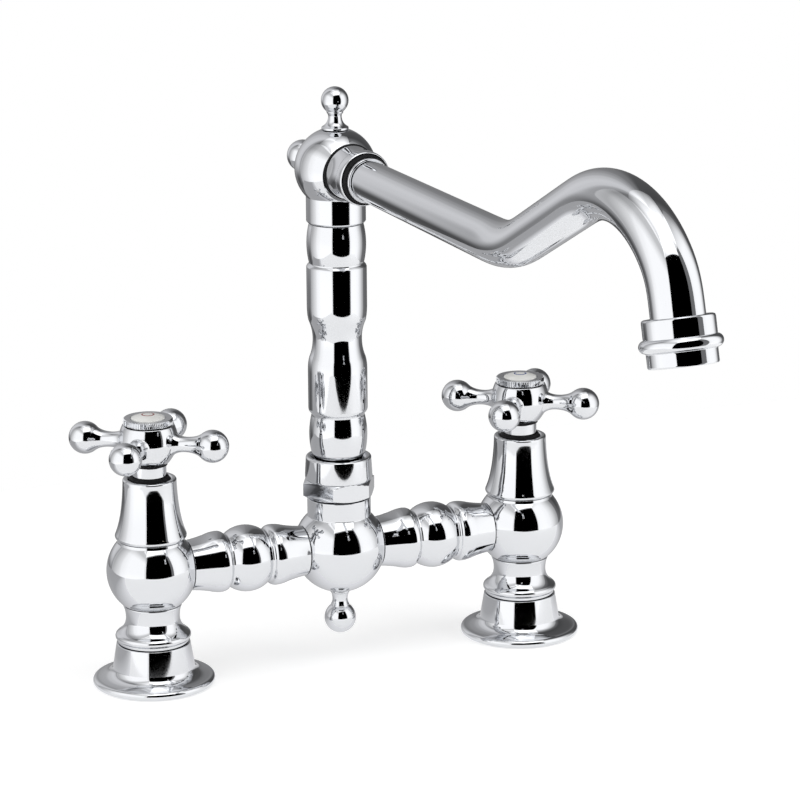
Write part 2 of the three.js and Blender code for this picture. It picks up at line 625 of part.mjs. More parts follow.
// Turned riser: a sealed spigot, a bulb, two cylinders either side of a waist, and a top bulb
function riserColumn() {
  const seals = sealHeights.flatMap((height) => [
    [RISER.spigot, height - RISER_SEAL.width / 2],
    [RISER_SEAL.groove, height - RISER_SEAL.width / 2],
    [RISER_SEAL.groove, height + RISER_SEAL.width / 2],
    [RISER.spigot, height + RISER_SEAL.width / 2],
  ]);
  const foot = BRIDGE_HEIGHT + RISER.bottom;
  const shaft = topBulbBottom - shaftBottom;
  const lowerTop = shaftBottom + RISER_LOWER.share * shaft;
  const waist = shaftBottom + RISER_WAIST.share * shaft;
  const upperBottom = shaftBottom + RISER_UPPER.share * shaft;
  const lower = RISER_LOWER.radius;
  const spigotTop = riserTop + RISER_TOP.spigotLength;
  return turned([
    [RISER.bore, foot],
    [RISER.spigot - 2 * EDGE, foot],
    [RISER.spigot, foot + 3 * EDGE],
    ...seals,
    [RISER.spigot, threadTop],
    [THRUST.groove, threadTop],
    [THRUST.groove, nutSeat],
    [RISER.journal, nutSeat],
    [RISER.journal, nutTop + RISER.journalAbove],
    ...barrel(RISER_BULB.foot, RISER_BULB.radius, bulbBottom, bulbTop, 4),
    [RISER_GROOVE.radius, shaftBottom],
    ...sweep([RISER_GROOVE.radius + EDGE, shaftBottom + 2 * EDGE],
      [lower, shaftBottom + RISER_LOWER.above - 3 * EDGE], [lower, shaftBottom + RISER_LOWER.above], 2),
    ...sweep([lower, lowerTop], [RISER_WAIST.radius, lowerTop + 0.3 * (waist - lowerTop)],
      [RISER_WAIST.radius, waist], 3),
    ...sweep([RISER_WAIST.radius, waist], [RISER_WAIST.radius, upperBottom - 0.3 * (upperBottom - waist)],
      [RISER_UPPER.radius, upperBottom], 3).slice(1),
    [RISER_UPPER.radius, topBulbBottom - RISER_UPPER.below],
    [RISER_TOP_BULB.foot - EDGE, topBulbBottom - EDGE],
    ...barrel(RISER_TOP_BULB.foot, RISER_TOP_BULB.radius, topBulbBottom, topBulbTop, 4),
    [RISER_TOP.radius, riserTop],
    [RISER_TOP.spigot, riserTop],
    [RISER_TOP.spigot, spigotTop],
    [RISER.bore, spigotTop],
  ]);
}

function riserSeal(height) {
  return roundRing(RISER_SEAL.groove + SEAL_GAP + RISER_SEAL.section, RISER_SEAL.section, height);
}

// ---- Spout ----------------------------------------------------------------------------------

// The tube's centre line in its upright plane, as straight runs and bends
function tubeRuns() {
  const p = TUBE_PATH;
  return [
    { length: p.straight, turn: 0, steps: 1 },
    { length: p.kinkRadius * rad(SPOUT_DROP + p.rise), turn: rad(SPOUT_DROP + p.rise), steps: 4 },
    { length: p.ramp, turn: 0, steps: 1 },
    { length: p.crownRadius * rad(p.rise - p.crownEnd), turn: -rad(p.rise - p.crownEnd), steps: 8 },
    { length: p.fallRadius * rad(p.crownEnd - p.fall), turn: -rad(p.crownEnd - p.fall), steps: 3 },
    { length: p.tail, turn: 0, steps: 1 },
    { length: NOZZLE_INSIDE.tubeEngagement, turn: 0, steps: 1 },
  ];
}

// Where the centre line is after a length, how high, and how steeply it climbs
function tubeAt(distance) {
  let forward = 0;
  let up = 0;
  let slope = -rad(SPOUT_DROP);
  let left = distance;
  for (const run of tubeRuns()) {
    const part = Math.min(left, run.length);
    const turn = (run.turn * part) / run.length;
    const stride = turn === 0 ? part : (2 * part * Math.sin(turn / 2)) / turn;
    forward += stride * Math.cos(slope + turn / 2);
    up += stride * Math.sin(slope + turn / 2);
    slope += turn;
    left -= part;
  }
  return { forward, up, slope };
}

// Lengths along the tube at which it has a ring of points
function tubeStations() {
  const stations = [TUBE.start];
  let end = 0;
  for (const run of tubeRuns()) {
    const begin = end;
    end += run.length;
    for (let i = 1; i <= run.steps; i += 1) {
      const station = begin + (run.length * i) / run.steps;
      if (station > TUBE.start) stations.push(station);
    }
  }
  return stations;
}

const stations = tubeStations();
const tubeLength = stations[stations.length - 1];
const nozzleStart = tubeLength - NOZZLE_INSIDE.tubeEngagement;

function tubeRadius(distance) {
  const share = (distance - TUBE.start) / (tubeLength - TUBE.start);
  return TUBE.rootRadius + (TUBE.endRadius - TUBE.rootRadius) * share;
}

// Swelling tube, turned straight and then bent along its centre line
function spoutTube() {
  const outside = stations.map((s) => [tubeRadius(s), s]);
  const inside = stations.map((s) => [tubeRadius(s) - TUBE.wall, s]).reverse();
  const tube = turned([...outside, ...inside]);
  const points = tube.attributes.position;
  for (let i = 0; i < points.count; i += 1) {
    const { forward, up, slope } = tubeAt(points.getZ(i));
    const across = points.getX(i);
    const lift = points.getY(i);
    points.setXYZ(i, across, -forward + lift * Math.sin(slope), up + lift * Math.cos(slope));
  }
  tube.computeVertexNormals();
  return tube;
}

// Ball at the top of the riser, with a socket in front and finial holes above and behind
function spoutBall() {
  const collarBottom = FIT - BALL.seat;
  const socket = RISER_TOP.spigot + FIT;
  const socketTop = collarBottom + RISER_TOP.spigotLength;
  const seat = chord(BALL.radius, TOP_FINIAL.base);
  const drill = seat - STUD.length - FIT;
  const low = -THREE.MathUtils.radToDeg(Math.acos(BALL.collar / BALL.radius));
  const high = THREE.MathUtils.radToDeg(Math.asin(seat / BALL.radius));
  const ball = turned([
    [0, BALL.chamberTop],
    [BALL.chamber, BALL.chamberTop],
    [BALL.chamber, socketTop],
    [socket, socketTop],
    [socket, collarBottom],
    [BALL.collar, collarBottom],
    ...arc(0, 0, BALL.radius, low, high, 7),
    [STUD.hole, seat],
    [STUD.hole, drill],
    [0, drill],
  ]);
  const frontFace = chord(BALL.radius, BALL_FACE.front);
  const mouth = spotDrill(BALL.mouth, BALL.mouthDepth, frontFace, BALL_FACE.front + 1);
  mouth.rotateX(Math.PI / 2 + rad(SPOUT_DROP));
  const rearSeat = chord(BALL.radius, REAR_FINIAL.base);
  const rear = spotDrill(STUD.hole, rearSeat - STUD.length - FIT, rearSeat, REAR_FINIAL.base + 1);
  rear.rotateX(-Math.PI / 2 + rad(SPOUT_DROP));
  return cut(ball, mouth, rear);
}

// Socket collar on the front of the ball: a groove, a wide band and a round lip
function spoutCollar() {
  const face = chord(BALL.radius, BALL_FACE.front) + FIT;
  const bandStart = face + COLLAR.groove + EDGE;
  const recess = COLLAR.end - COLLAR_BORE.recessDepth;
  return turned([
    [COLLAR_BORE.stop, COLLAR.start],
    [COLLAR.spigot, COLLAR.start],
    [COLLAR.spigot, face],
    [COLLAR.neck, face],
    [COLLAR.neck, bandStart - EDGE],
    [COLLAR.band, bandStart],
    ...sweep([COLLAR.band, bandStart + 3 * EDGE],
      [COLLAR.band - 2 * EDGE, (bandStart + COLLAR.bandEnd) / 2], [COLLAR.band - EDGE, COLLAR.bandEnd], 2),
    [COLLAR.lip - EDGE, COLLAR.bandEnd + 3 * EDGE],
    [COLLAR.lip, (COLLAR.bandEnd + COLLAR.end) / 2],
    [COLLAR.lip - EDGE, COLLAR.end - 4 * EDGE],
    [COLLAR.lip - 4 * EDGE, COLLAR.end],
    [COLLAR_BORE.recess, COLLAR.end - EDGE],
    [COLLAR_BORE.recess, recess],
    [tubeBore, recess],
    [tubeBore, COLLAR_BORE.stopEnd],
    [COLLAR_BORE.stop, COLLAR_BORE.stopEnd],
  ]);
}

// Rubber washer at the root of the tube
function tubeSeal() {
  const bottom = COLLAR_BORE.stopEnd + FIT;
  const top = bottom + TUBE_SEAL.thickness;
  const outer = tubeBore - FIT;
  return turned([[TUBE_SEAL.inner, bottom], [outer, bottom], [outer, top],
    [TUBE_SEAL.inner, top]]);
}

// Bright ring that closes the collar's mouth round the tube
function tubeRing() {
  const bottom = COLLAR.end - COLLAR_BORE.recessDepth + FIT;
  const top = bottom + TUBE_RING.length;
  return turned([[tubeBore, bottom], [TUBE_RING.outer, bottom], [TUBE_RING.outer, top - 2 * EDGE],
    [TUBE_RING.outer - 2 * EDGE, top], [tubeBore, top]]);
}

const nozzleStep = NOZZLE_INSIDE.tubeEngagement + THREAD_GAP;

// Nozzle: a sleeve over the tube's end, a round ring and a short tip
function nozzleShell() {
  const socket = TUBE.endRadius + FIT;
  return turned([
    [socket, 0],
    [NOZZLE.radius - 3 * EDGE, 0],
    [NOZZLE.radius, 3 * EDGE],
    [NOZZLE.radius, NOZZLE.ringAt - NOZZLE.ringSection],
    ...arc(NOZZLE.ring - NOZZLE.ringSection, NOZZLE.ringAt, NOZZLE.ringSection, -70, 70, 4),
    [NOZZLE.tip, NOZZLE.ringAt + NOZZLE.ringSection + EDGE],
    [NOZZLE.tip, NOZZLE_INSIDE.length - 2 * EDGE],
    [NOZZLE.tip - 2 * EDGE, NOZZLE_INSIDE.length],
    [NOZZLE_INSIDE.mouth, NOZZLE_INSIDE.length],
    [NOZZLE_INSIDE.mouth, nozzleStep],
    [socket, nozzleStep],
  ]);
}

// Heights inside the nozzle, measured from its upper end
const washerBottom = nozzleStep + FIT;
const housingBottom = washerBottom + AERATOR.washer + FIT;
const housingTop = NOZZLE_INSIDE.length - AERATOR.recess;
const housingRadius = NOZZLE_INSIDE.mouth - FIT;
const screenTop = housingTop - AERATOR.lipThickness - FIT;

function aeratorWasher() {
  return turned([[AERATOR.washerInner, washerBottom], [housingRadius, washerBottom],
    [housingRadius, washerBottom + AERATOR.washer],
    [AERATOR.washerInner, washerBottom + AERATOR.washer]]);
}

function aeratorHousing() {
  const inner = housingRadius - AERATOR.wall;
  const lip = housingTop - AERATOR.lipThickness;
  return turned([[inner, housingBottom], [housingRadius, housingBottom], [housingRadius, housingTop],
    [AERATOR.lip, housingTop], [AERATOR.lip, lip], [inner, lip]]);
}

// Steel screen with a centre hole and a ring of six
function aeratorScreen() {
  const bottom = screenTop - SCREEN.thickness;
  const radius = housingRadius - AERATOR.wall - FIT;
  const disc = turned([[0, bottom], [radius, bottom], [radius, screenTop], [0, screenTop]]);
  const holes = [0, 1, 2, 3, 4, 5, 6].map((i) => {
    const hole = turned([[0, bottom - FIT], [SCREEN.hole, bottom - FIT],
      [SCREEN.hole, screenTop + FIT], [0, screenTop + FIT]], 6);
    const away = i === 0 ? 0 : SCREEN.ringOfHoles;
    hole.translate(away * Math.cos(rad(60 * i)), away * Math.sin(rad(60 * i)), 0);
    return hole;
  });
  return cut(disc, ...holes);
}

// ---- Assembly -------------------------------------------------------------------------------
const faucet = new THREE.Group();

// One pillar with its valve, its handle and its half of the bridge
function pillar(tag, side) {
  const group = new THREE.Group();
  group.position.x = side * halfCentres;
  group.add(
    named(`base_gasket_${tag}`, baseGasket(), RUBBER),
    named(`base_flange_${tag}`, baseFlange(), CHROME),
    named(`inlet_socket_${tag}`, inletSocket(), BRASS),
    named(`pedestal_${tag}`, pedestal(), CHROME),
    named(`valve_body_${tag}`, valveBody(-side), CHROME),
    named(`seat_seal_${tag}`, seatSeal(), RUBBER),
    named(`fixed_disc_${tag}`, ceramicDisc(fixedBottom, DISC.fixedThickness), CERAMIC),
    named(`moving_disc_${tag}`, ceramicDisc(movingBottom, DISC.movingThickness), CERAMIC),
    named(`cartridge_body_${tag}`, cartridgeBody(), BRASS),
    named(`bonnet_${tag}`, bonnet(), CHROME),
    named(`spindle_${tag}`, spindle(), BRASS),
    named(`handle_sleeve_${tag}`, handleSleeve(), CHROME),
    named(`handle_cross_${tag}`, handleCross(), CHROME),
    named(`handle_screw_${tag}`, handleScrew(), STEEL),
    named(`index_ring_${tag}`, indexRing(), CHROME),
    named(`index_button_${tag}`, indexButton(), PORCELAIN),
  );
  const arm = named(`bridge_arm_${tag}`, bridgeArm(), CHROME);
  const sealOffset = armHalf + SPIGOT.grooveAt + SPIGOT.grooveWidth / 2;
  const innerSeal = named(`arm_seal_inner_${tag}`, armSeal(), RUBBER);
  const outerSeal = named(`arm_seal_outer_${tag}`, armSeal(), RUBBER);
  innerSeal.position.z = -sealOffset;
  outerSeal.position.z = sealOffset;
  const bridge = new THREE.Group();
  bridge.position.set(side * armCentre, 0, BRIDGE_HEIGHT);
  bridge.rotation.y = (side * Math.PI) / 2;
  bridge.add(arm, innerSeal, outerSeal);
  faucet.add(group, bridge);
}

pillar('hot', -1);
pillar('cold', 1);

const lowFinial = named('bottom_finial', finial(LOW_FINIAL, MIXER.radius), CHROME);
lowFinial.position.z = BRIDGE_HEIGHT;
lowFinial.rotation.x = Math.PI;
faucet.add(
  named('mixing_ball', mixingBall(), CHROME),
  lowFinial,
  named('union_nut', unionNut(), CHROME),
  named('thrust_ring', thrustRing(), ACETAL),
);

// Everything that swivels with the spout
const swivel = new THREE.Group();
swivel.rotation.z = rad(SPOUT_TURN);
swivel.add(
  named('riser_column', riserColumn(), CHROME),
  named('riser_seal_lower', riserSeal(sealHeights[0]), RUBBER),
  named('riser_seal_upper', riserSeal(sealHeights[1]), RUBBER),
);
const head = new THREE.Group();
head.position.z = SPOUT_HEIGHT;
head.add(
  named('spout_ball', spoutBall(), CHROME),
  named('top_finial', finial(TOP_FINIAL, BALL.radius), CHROME),
  named('spout_tube', spoutTube(), CHROME),
);
const rearFinial = named('rear_finial', finial(REAR_FINIAL, BALL.radius), CHROME);
rearFinial.rotation.x = -Math.PI / 2 + rad(SPOUT_DROP);
const front = new THREE.Group();
front.rotation.x = Math.PI / 2 + rad(SPOUT_DROP);
front.add(
  named('spout_collar', spoutCollar(), CHROME),
  named('tube_seal', tubeSeal(), RUBBER),
  named('tube_ring', tubeRing(), CHROME),
);
const nozzle = new THREE.Group();
const outlet = tubeAt(nozzleStart);
nozzle.position.set(0, -outlet.forward, outlet.up);
nozzle.rotation.x = Math.PI / 2 - outlet.slope;
nozzle.add(
  named('nozzle_shell', nozzleShell(), CHROME),
  named('aerator_washer', aeratorWasher(), RUBBER),
  named('aerator_housing', aeratorHousing(), BRASS),
  named('aerator_screen', aeratorScreen(), STEEL),
);
head.add(rearFinial, front, nozzle);
swivel.add(head);
faucet.add(swivel);

export default faucet;
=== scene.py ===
import math
import bmesh
import bpy
from mathutils import Matrix, Vector


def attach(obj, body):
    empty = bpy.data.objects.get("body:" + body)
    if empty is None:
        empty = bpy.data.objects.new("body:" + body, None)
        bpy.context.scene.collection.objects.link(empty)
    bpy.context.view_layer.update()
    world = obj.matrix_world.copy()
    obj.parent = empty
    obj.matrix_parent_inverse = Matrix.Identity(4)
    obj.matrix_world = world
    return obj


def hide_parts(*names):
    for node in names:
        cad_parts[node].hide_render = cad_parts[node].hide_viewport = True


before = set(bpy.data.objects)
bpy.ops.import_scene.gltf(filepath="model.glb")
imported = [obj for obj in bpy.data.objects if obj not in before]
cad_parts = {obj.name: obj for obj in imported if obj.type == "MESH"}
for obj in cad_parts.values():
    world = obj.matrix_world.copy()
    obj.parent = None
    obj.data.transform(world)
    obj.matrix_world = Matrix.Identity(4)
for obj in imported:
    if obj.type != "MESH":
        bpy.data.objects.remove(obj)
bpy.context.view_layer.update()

# ------------------------------------------------
# Camera: a long lens, a little to the left of the faucet and looking down at it by 15 degrees,
# so that the riser stands almost in the middle of a square picture.
MM = 0.001
CAMERA_PLACE = Vector((-554.1, -1419.1, 527.4)) * MM
CAMERA_YAW = math.radians(22.38)
CAMERA_PITCH = math.radians(14.93)
CAMERA_ROLL = math.radians(-0.34)
LENS = 157.5

camera_data = bpy.data.cameras.new("camera")
camera_data.lens = LENS
camera_data.sensor_width = 36
camera_data.clip_start = 0.05
camera = bpy.data.objects.new("camera", camera_data)
bpy.context.scene.collection.objects.link(camera)
turn = Matrix.Rotation(-CAMERA_YAW, 4, "Z") @ Matrix.Rotation(math.pi / 2 - CAMERA_PITCH, 4, "X")
camera.matrix_world = Matrix.Translation(CAMERA_PLACE) @ turn @ Matrix.Rotation(CAMERA_ROLL, 4, "Z")
bpy.context.scene.camera = camera
bpy.context.scene.view_settings.view_transform = "Standard"


# ------------------------------------------------
# Deck: the white table top that the faucet stands on. It ends half a metre in front of the
# faucet, so the lower half of each polished shape shows it and then the dark studio beyond.
DECK_FRONT = -450
DECK_REAR = 320
DECK_LEVEL = -0.05
DECK_HALF_WIDTH = 425
DECK_GLOW = 0.5


def principled(name, values):
    """A material with plain values on its shader's inputs, its node tree and its shader."""
    material = bpy.data.materials.new(name)
    material.use_nodes = True
    shader = material.node_tree.nodes["Principled BSDF"]
    for entry, value in values.items():
        shader.inputs[entry].default_value = value
    return material, material.node_tree, shader


def add_node(tree, kind, values=(), **settings):
    """A new node with its settings, and with plain values on its inputs."""
    node = tree.nodes.new(kind)
    for setting, value in settings.items():
        setattr(node, setting, value)
    for entry, value in dict(values).items():
        node.inputs[entry].default_value = value
    return node


def wire(tree, *wires):
    """Links nodes. Each wire gives a node, its output, the next node and its input."""
    for source, output, target, entry in wires:
        tree.links.new(source.outputs[output], target.inputs[entry])


def looked_at(tree):
    """A node that gives 1 to rays from the camera, off a polished face or through glass."""
    path = add_node(tree, "ShaderNodeLightPath")
    seen = add_node(tree, "ShaderNodeMath", operation="MAXIMUM")
    seen_through = add_node(tree, "ShaderNodeMath", operation="MAXIMUM")
    wire(tree,
         (path, "Is Camera Ray", seen, 0),
         (path, "Is Glossy Ray", seen, 1),
         (seen, 0, seen_through, 0),
         (path, "Is Transmission Ray", seen_through, 1))
    return seen_through


def staged(name, body, material):
    """Puts a body on the set, where it is no part of the faucet."""
    mesh = bpy.data.meshes.new(name)
    body.to_mesh(mesh)
    body.free()
    mesh.materials.append(material)
    set_object = bpy.data.objects.new(name, mesh)
    bpy.context.scene.collection.objects.link(set_object)
    return set_object


def flat_card(name, low, high, material):
    """A rectangle between two corners in mm, which lies level or faces the front."""
    card = bmesh.new()
    bmesh.ops.create_grid(card, x_segments=1, y_segments=1, size=0.5)
    if low[1] == high[1]:
        bmesh.ops.rotate(card, verts=card.verts, matrix=Matrix.Rotation(math.pi / 2, 3, "X"))
    bmesh.ops.scale(card, verts=card.verts, vec=(Vector(high) - Vector(low)) * MM)
    bmesh.ops.translate(card, verts=card.verts, vec=(Vector(low) + Vector(high)) / 2 * MM)
    return staged(name, card, material)


deck_paint, tree, shader = principled("deck", {
    "Base Color": (0.72, 0.72, 0.72, 1), "Roughness": 0.9, "Specular IOR Level": 0,
    "Emission Color": (1, 1, 1, 1)})
lift = add_node(tree, "ShaderNodeMath", {1: DECK_GLOW}, operation="MULTIPLY")
wire(tree, (looked_at(tree), 0, lift, 0), (lift, 0, shader, "Emission Strength"))
flat_card("deck", (-DECK_HALF_WIDTH, DECK_FRONT, DECK_LEVEL),
          (DECK_HALF_WIDTH, DECK_REAR, DECK_LEVEL), deck_paint)


# ------------------------------------------------
# Soft boxes: a large lamp on each side of the faucet and one overhead, each dimmer towards its
# edges. They light the deck and stand as bright panels in the polished metal.
def graded(tree, shades, interpolation):
    """A colour ramp of slightly cool greys, from (place, level) pairs."""
    ramp = add_node(tree, "ShaderNodeValToRGB")
    ramp.color_ramp.interpolation = interpolation
    stops = ramp.color_ramp.elements
    while len(stops) < len(shades):
        stops.new(0.5)
    for stop, (place, level) in zip(stops, shades):
        stop.position = place
        stop.color = (level, level, level * 1.02, 1)
    return ramp


def soft_box(name, centre, towards, width, height, level, across, upwards):
    """A rectangular lamp in mm that faces a point; level 1 looks white. The two lists dim it by
    shares of its width, from the left as the lamp looks, and of its height."""
    lamp = bpy.data.lights.new(name, "AREA")
    lamp.shape = "RECTANGLE"
    lamp.size = width * MM
    lamp.size_y = height * MM
    lamp.energy = level * math.pi * lamp.size * lamp.size_y
    lamp.use_nodes = True
    tree = lamp.node_tree
    face = add_node(tree, "ShaderNodeNewGeometry")
    apart = add_node(tree, "ShaderNodeSeparateXYZ")
    dimmed = add_node(tree, "ShaderNodeMath", operation="MULTIPLY")
    wire(tree, (face, "Parametric", apart, "Vector"),
         (dimmed, 0, tree.nodes["Emission"], "Strength"))
    for axis, shades, factor in (("X", across, 0), ("Y", upwards, 1)):
        ramp = graded(tree, shades, "LINEAR")
        wire(tree, (apart, axis, ramp, "Fac"), (ramp, "Color", dimmed, factor))
    lamp_object = bpy.data.objects.new(name, lamp)
    place = Vector(centre) * MM
    aim = (Vector(towards) * MM - place).to_track_quat("-Z", "Y")
    lamp_object.matrix_world = Matrix.Translation(place) @ aim.to_matrix().to_4x4()
    lamp_object.visible_camera = False
    bpy.context.scene.collection.objects.link(lamp_object)


def lamp_wall(name, front, rear, low, high, level, across, upwards):
    """An upright soft box over the line from front to rear on the deck, lit towards the faucet."""
    front, rear = Vector((*front, 0)), Vector((*rear, 0))
    along = rear - front
    centre = (front + rear) / 2 + Vector((0, 0, (low + high) / 2))
    inward = Vector((along.y, -along.x, 0)).normalized()
    if inward.dot(centre) > 0:
        inward = -inward
    soft_box(name, centre, centre + inward * 100, along.length, high - low, level, across, upwards)


lamp_wall("left_box", (-769, -1046), (-1023, 1097), -700, 2200, 1.15,
          ((0, 0.18), (0.125, 0.29), (0.25, 0.46), (0.375, 0.67), (0.43, 0.87), (0.56, 1)),
          ((0, 1), (0.5, 1), (0.655, 0.5), (1, 0.45)))
lamp_wall("right_box", (324, -511), (988, 151), -500, 1500, 1.2,
          ((0, 0.88), (0.1, 0.98), (0.25, 0.98), (0.4, 0.92), (0.6, 0.62), (0.75, 0.38), (1, 0.17)),
          ((0, 1), (0.55, 1), (0.75, 0.5), (1, 0.45)))
soft_box("overhead_box", (0, -400, 1700), (0, -400, 0), 1700, 1800, 1.3,
         ((0, 0.3), (0.25, 1), (0.8, 1), (1, 0.6)), ((0, 0.3), (0.27, 1), (0.6, 1), (1, 0.2)))


# ------------------------------------------------
# Backings seen only in polished metal: a plain black card in front; a ring round the rest, leaning
# in at the top to a ceiling, that glows grey by direction as painted reflection of an unevenly lit
# studio; and a card on the deck behind the faucet that glows darker towards the rear as painted
# shade on the deck. Polished metal needs them to show its shape.
WALL_PROFILE = ((1500, -900), (1500, 1500), (650, 2300), (0, 2300))
WALL_FROM = -60
WALL_SPAN = 290
FLOOR_SHADE_FRONT = -10
FLOOR_SHADE_LEVEL = 0.1

# Glow levels by direction in degrees, for the part of the wall above the deck and the part below
# it,
# with a soft change between two heights: painted reflection of the studio's uneven light and shade.
# The soft boxes add their light to the wall behind them.
SHADES_ABOVE = ((-180, 0.2), (-130, 0.2), (-60, 0.2), (11, 0.18), (27, 0.08), (50, 0.1),
                (64, 0.24), (70, 0.27), (76, 0.36), (90, 0.5), (100, 0.68), (115, 0.8),
                (124, 0.76), (131, 0.46), (140, 0.22), (180, 0.2))
SHADES_BELOW = ((-180, 0.3), (-60, 0.24), (11, 0.2), (50, 0.16), (60, 0.08), (90, 0.12),
                (98, 0.2), (105, 0.17), (109, 0.1), (119, 0.09), (124, 0.15), (133, 0.3),
                (180, 0.3))
CHANGE_FROM = -330
CHANGE_TO = 260

# Glow levels of the floor card by shares of its depth: painted shade, darker behind the faucet.
SHADES_BEHIND = ((0, 1.0), (0.1, 0.72), (0.21, 0.48), (0.5, 0.46), (1, 0.46))

BLACK = {"Base Color": (0, 0, 0, 1), "Specular IOR Level": 0}
front_card = flat_card("front_card", (-3200, -2600, -2500), (2600, -2600, 3600),
                       principled("front cloth", BLACK)[0])

# The wall glows by itself with these greys: painted reflection, not light from the lamps.
wall_glow, tree, shader = principled("glowing wall", {**BLACK, "Emission Strength": 1})
where = add_node(tree, "ShaderNodeTexCoord")
around = add_node(tree, "ShaderNodeTexGradient", gradient_type="RADIAL")
height = add_node(tree, "ShaderNodeSeparateXYZ")
rising = add_node(tree, "ShaderNodeMapRange",
                  {"From Min": CHANGE_FROM * MM, "From Max": CHANGE_TO * MM},
                  interpolation_type="SMOOTHSTEP")
both = add_node(tree, "ShaderNodeMix", data_type="RGBA")
wire(tree,
     (where, "Object", around, "Vector"),
     (where, "Object", height, "Vector"),
     (height, "Z", rising, "Value"),
     (rising, "Result", both, "Factor"),
     (both, "Result", shader, "Emission Color"))
for shades, end in ((SHADES_BELOW, "A"), (SHADES_ABOVE, "B")):
    ramp = graded(tree, [(0.5 + degrees / 360, level) for degrees, level in shades], "EASE")
    wire(tree, (around, "Fac", ramp, "Fac"), (ramp, "Color", both, end))
wall = bmesh.new()
upright = [wall.verts.new((r * MM, 0, z * MM)) for r, z in WALL_PROFILE]
for lower, upper in zip(upright, upright[1:]):
    wall.edges.new((lower, upper))
bmesh.ops.rotate(wall, verts=wall.verts, matrix=Matrix.Rotation(math.radians(WALL_FROM), 3, "Z"))
bmesh.ops.spin(wall, geom=wall.verts[:] + wall.edges[:], cent=(0, 0, 0), axis=(0, 0, 1),
               dvec=(0, 0, 0), angle=math.radians(WALL_SPAN), steps=116, use_duplicate=False)
rear_wall = staged("rear_wall", wall, wall_glow)

# The floor card glows too, fading from the deck's white to grey: painted shade behind the faucet.
floor_glow, tree, shader = principled("floor painted shade", {**BLACK, "Emission Strength": 1})
where = add_node(tree, "ShaderNodeTexCoord")
apart = add_node(tree, "ShaderNodeSeparateXYZ")
behind = add_node(tree, "ShaderNodeMapRange",
                  {"From Min": FLOOR_SHADE_FRONT * MM, "From Max": DECK_REAR * MM})
ramp = graded(tree, SHADES_BEHIND, "LINEAR")
wire(tree,
     (where, "Object", apart, "Vector"),
     (apart, "Y", behind, "Value"),
     (behind, "Result", ramp, "Fac"),
     (ramp, "Color", shader, "Emission Color"))
floor_shade_card = flat_card("floor_shade_card", (-DECK_HALF_WIDTH, FLOOR_SHADE_FRONT, FLOOR_SHADE_LEVEL),
                        (DECK_HALF_WIDTH, DECK_REAR, FLOOR_SHADE_LEVEL), floor_glow)

for seen_in_metal in (front_card, rear_wall, floor_shade_card):
    seen_in_metal.visible_camera = False
    seen_in_metal.visible_diffuse = False
    seen_in_metal.visible_shadow = False


# ------------------------------------------------
# Backdrop: the world, plain white where it is looked at. To the deck and to what isn't polished
# it gives a weak and even light.
world = bpy.data.worlds.new("studio")
world.use_nodes = True
bpy.context.scene.world = world
tree = world.node_tree
background = tree.nodes["Background"]
background.inputs["Color"].default_value = (1, 1, 1, 1)
strength = add_node(tree, "ShaderNodeMapRange", {"To Min": 0.35, "To Max": 1.0})
wire(tree, (looked_at(tree), 0, strength, "Value"), (strength, "Result", background, "Strength"))


# ------------------------------------------------
# Base flanges: dished plates with a rounded rim that sweep up into a hollow bell. Each is spun
# brass, polished and chromed, and hides the hole in the deck. It slides over the inlet socket.
SIDES = (("hot", -1), ("cold", 1))
FLANGE_RADIUS = 27.5
FLANGE_EDGE = 3.7
BELL_ROOT = (18.35, 8.2)
BELL_LEAN = (18.9, 4.7)
BELL_TOP = (16.5, 19.3)
BELL_WALL = 2.2
BELL_CROWN = 2.5
HOLLOW_ROOT = 17
GASKET_RADIUS = 24
GASKET_THICKNESS = 1.7
SOCKET_RADIUS = 10
FIT = 0.3
BRIDGE_HEIGHT = 52.7
HALF_CENTRES = 90
TURNING_STEPS = 96
CORNER_ANGLE = 25
BUMP_HEIGHT = 0.1 * MM


def arc(r, z, size, start, end, steps=20):
    """Points on a circle about (r, z) from one angle to another, in degrees."""
    angles = [math.radians(start + (end - start) * i / steps) for i in range(steps + 1)]
    return [(r + size * math.cos(a), z + size * math.sin(a)) for a in angles]


def sweep(first, lean, last, steps=16):
    """Points on a curve from first to last that leans towards a third point."""
    points = []
    for i in range(steps + 1):
        t = i / steps
        points.append(tuple(first[k] * (1 - t) ** 2 + 2 * lean[k] * t * (1 - t) + last[k] * t * t
                            for k in (0, 1)))
    return points


def turned(outline, soften=0.3, steps=TURNING_STEPS):
    """A body spun about Z from (radius, height) points in mm, with its sharp corners rounded."""
    body = bmesh.new()
    line = [body.verts.new((r * MM, 0, z * MM)) for r, z in outline]
    open_line = outline[0][0] == 0
    for a, b in zip(line, line[1:]):
        body.edges.new((a, b))
    if not open_line:
        body.edges.new((line[-1], line[0]))
    sharp = []
    for i, point in enumerate(line):
        if open_line and i in (0, len(line) - 1):
            continue
        before = point.co - line[i - 1].co
        after = line[(i + 1) % len(line)].co - point.co
        both_long = min(before.length, after.length) > 0
        if both_long and math.degrees(before.angle(after)) > CORNER_ANGLE:
            sharp.append(point)
    if soften > 0 and sharp:
        bmesh.ops.bevel(body, geom=sharp, offset=soften * MM, offset_type="OFFSET", segments=3,
                        profile=0.5, affect="VERTICES", material=-1, clamp_overlap=True)
    bmesh.ops.spin(body, geom=body.verts[:] + body.edges[:], cent=(0, 0, 0), axis=(0, 0, 1),
                   dvec=(0, 0, 0), angle=2 * math.pi, steps=steps, use_merge=True,
                   use_duplicate=False)
    bmesh.ops.remove_doubles(body, verts=body.verts, dist=1e-7)
    bmesh.ops.dissolve_degenerate(body, dist=1e-8, edges=body.edges)
    bmesh.ops.recalc_face_normals(body, faces=body.faces)
    return body


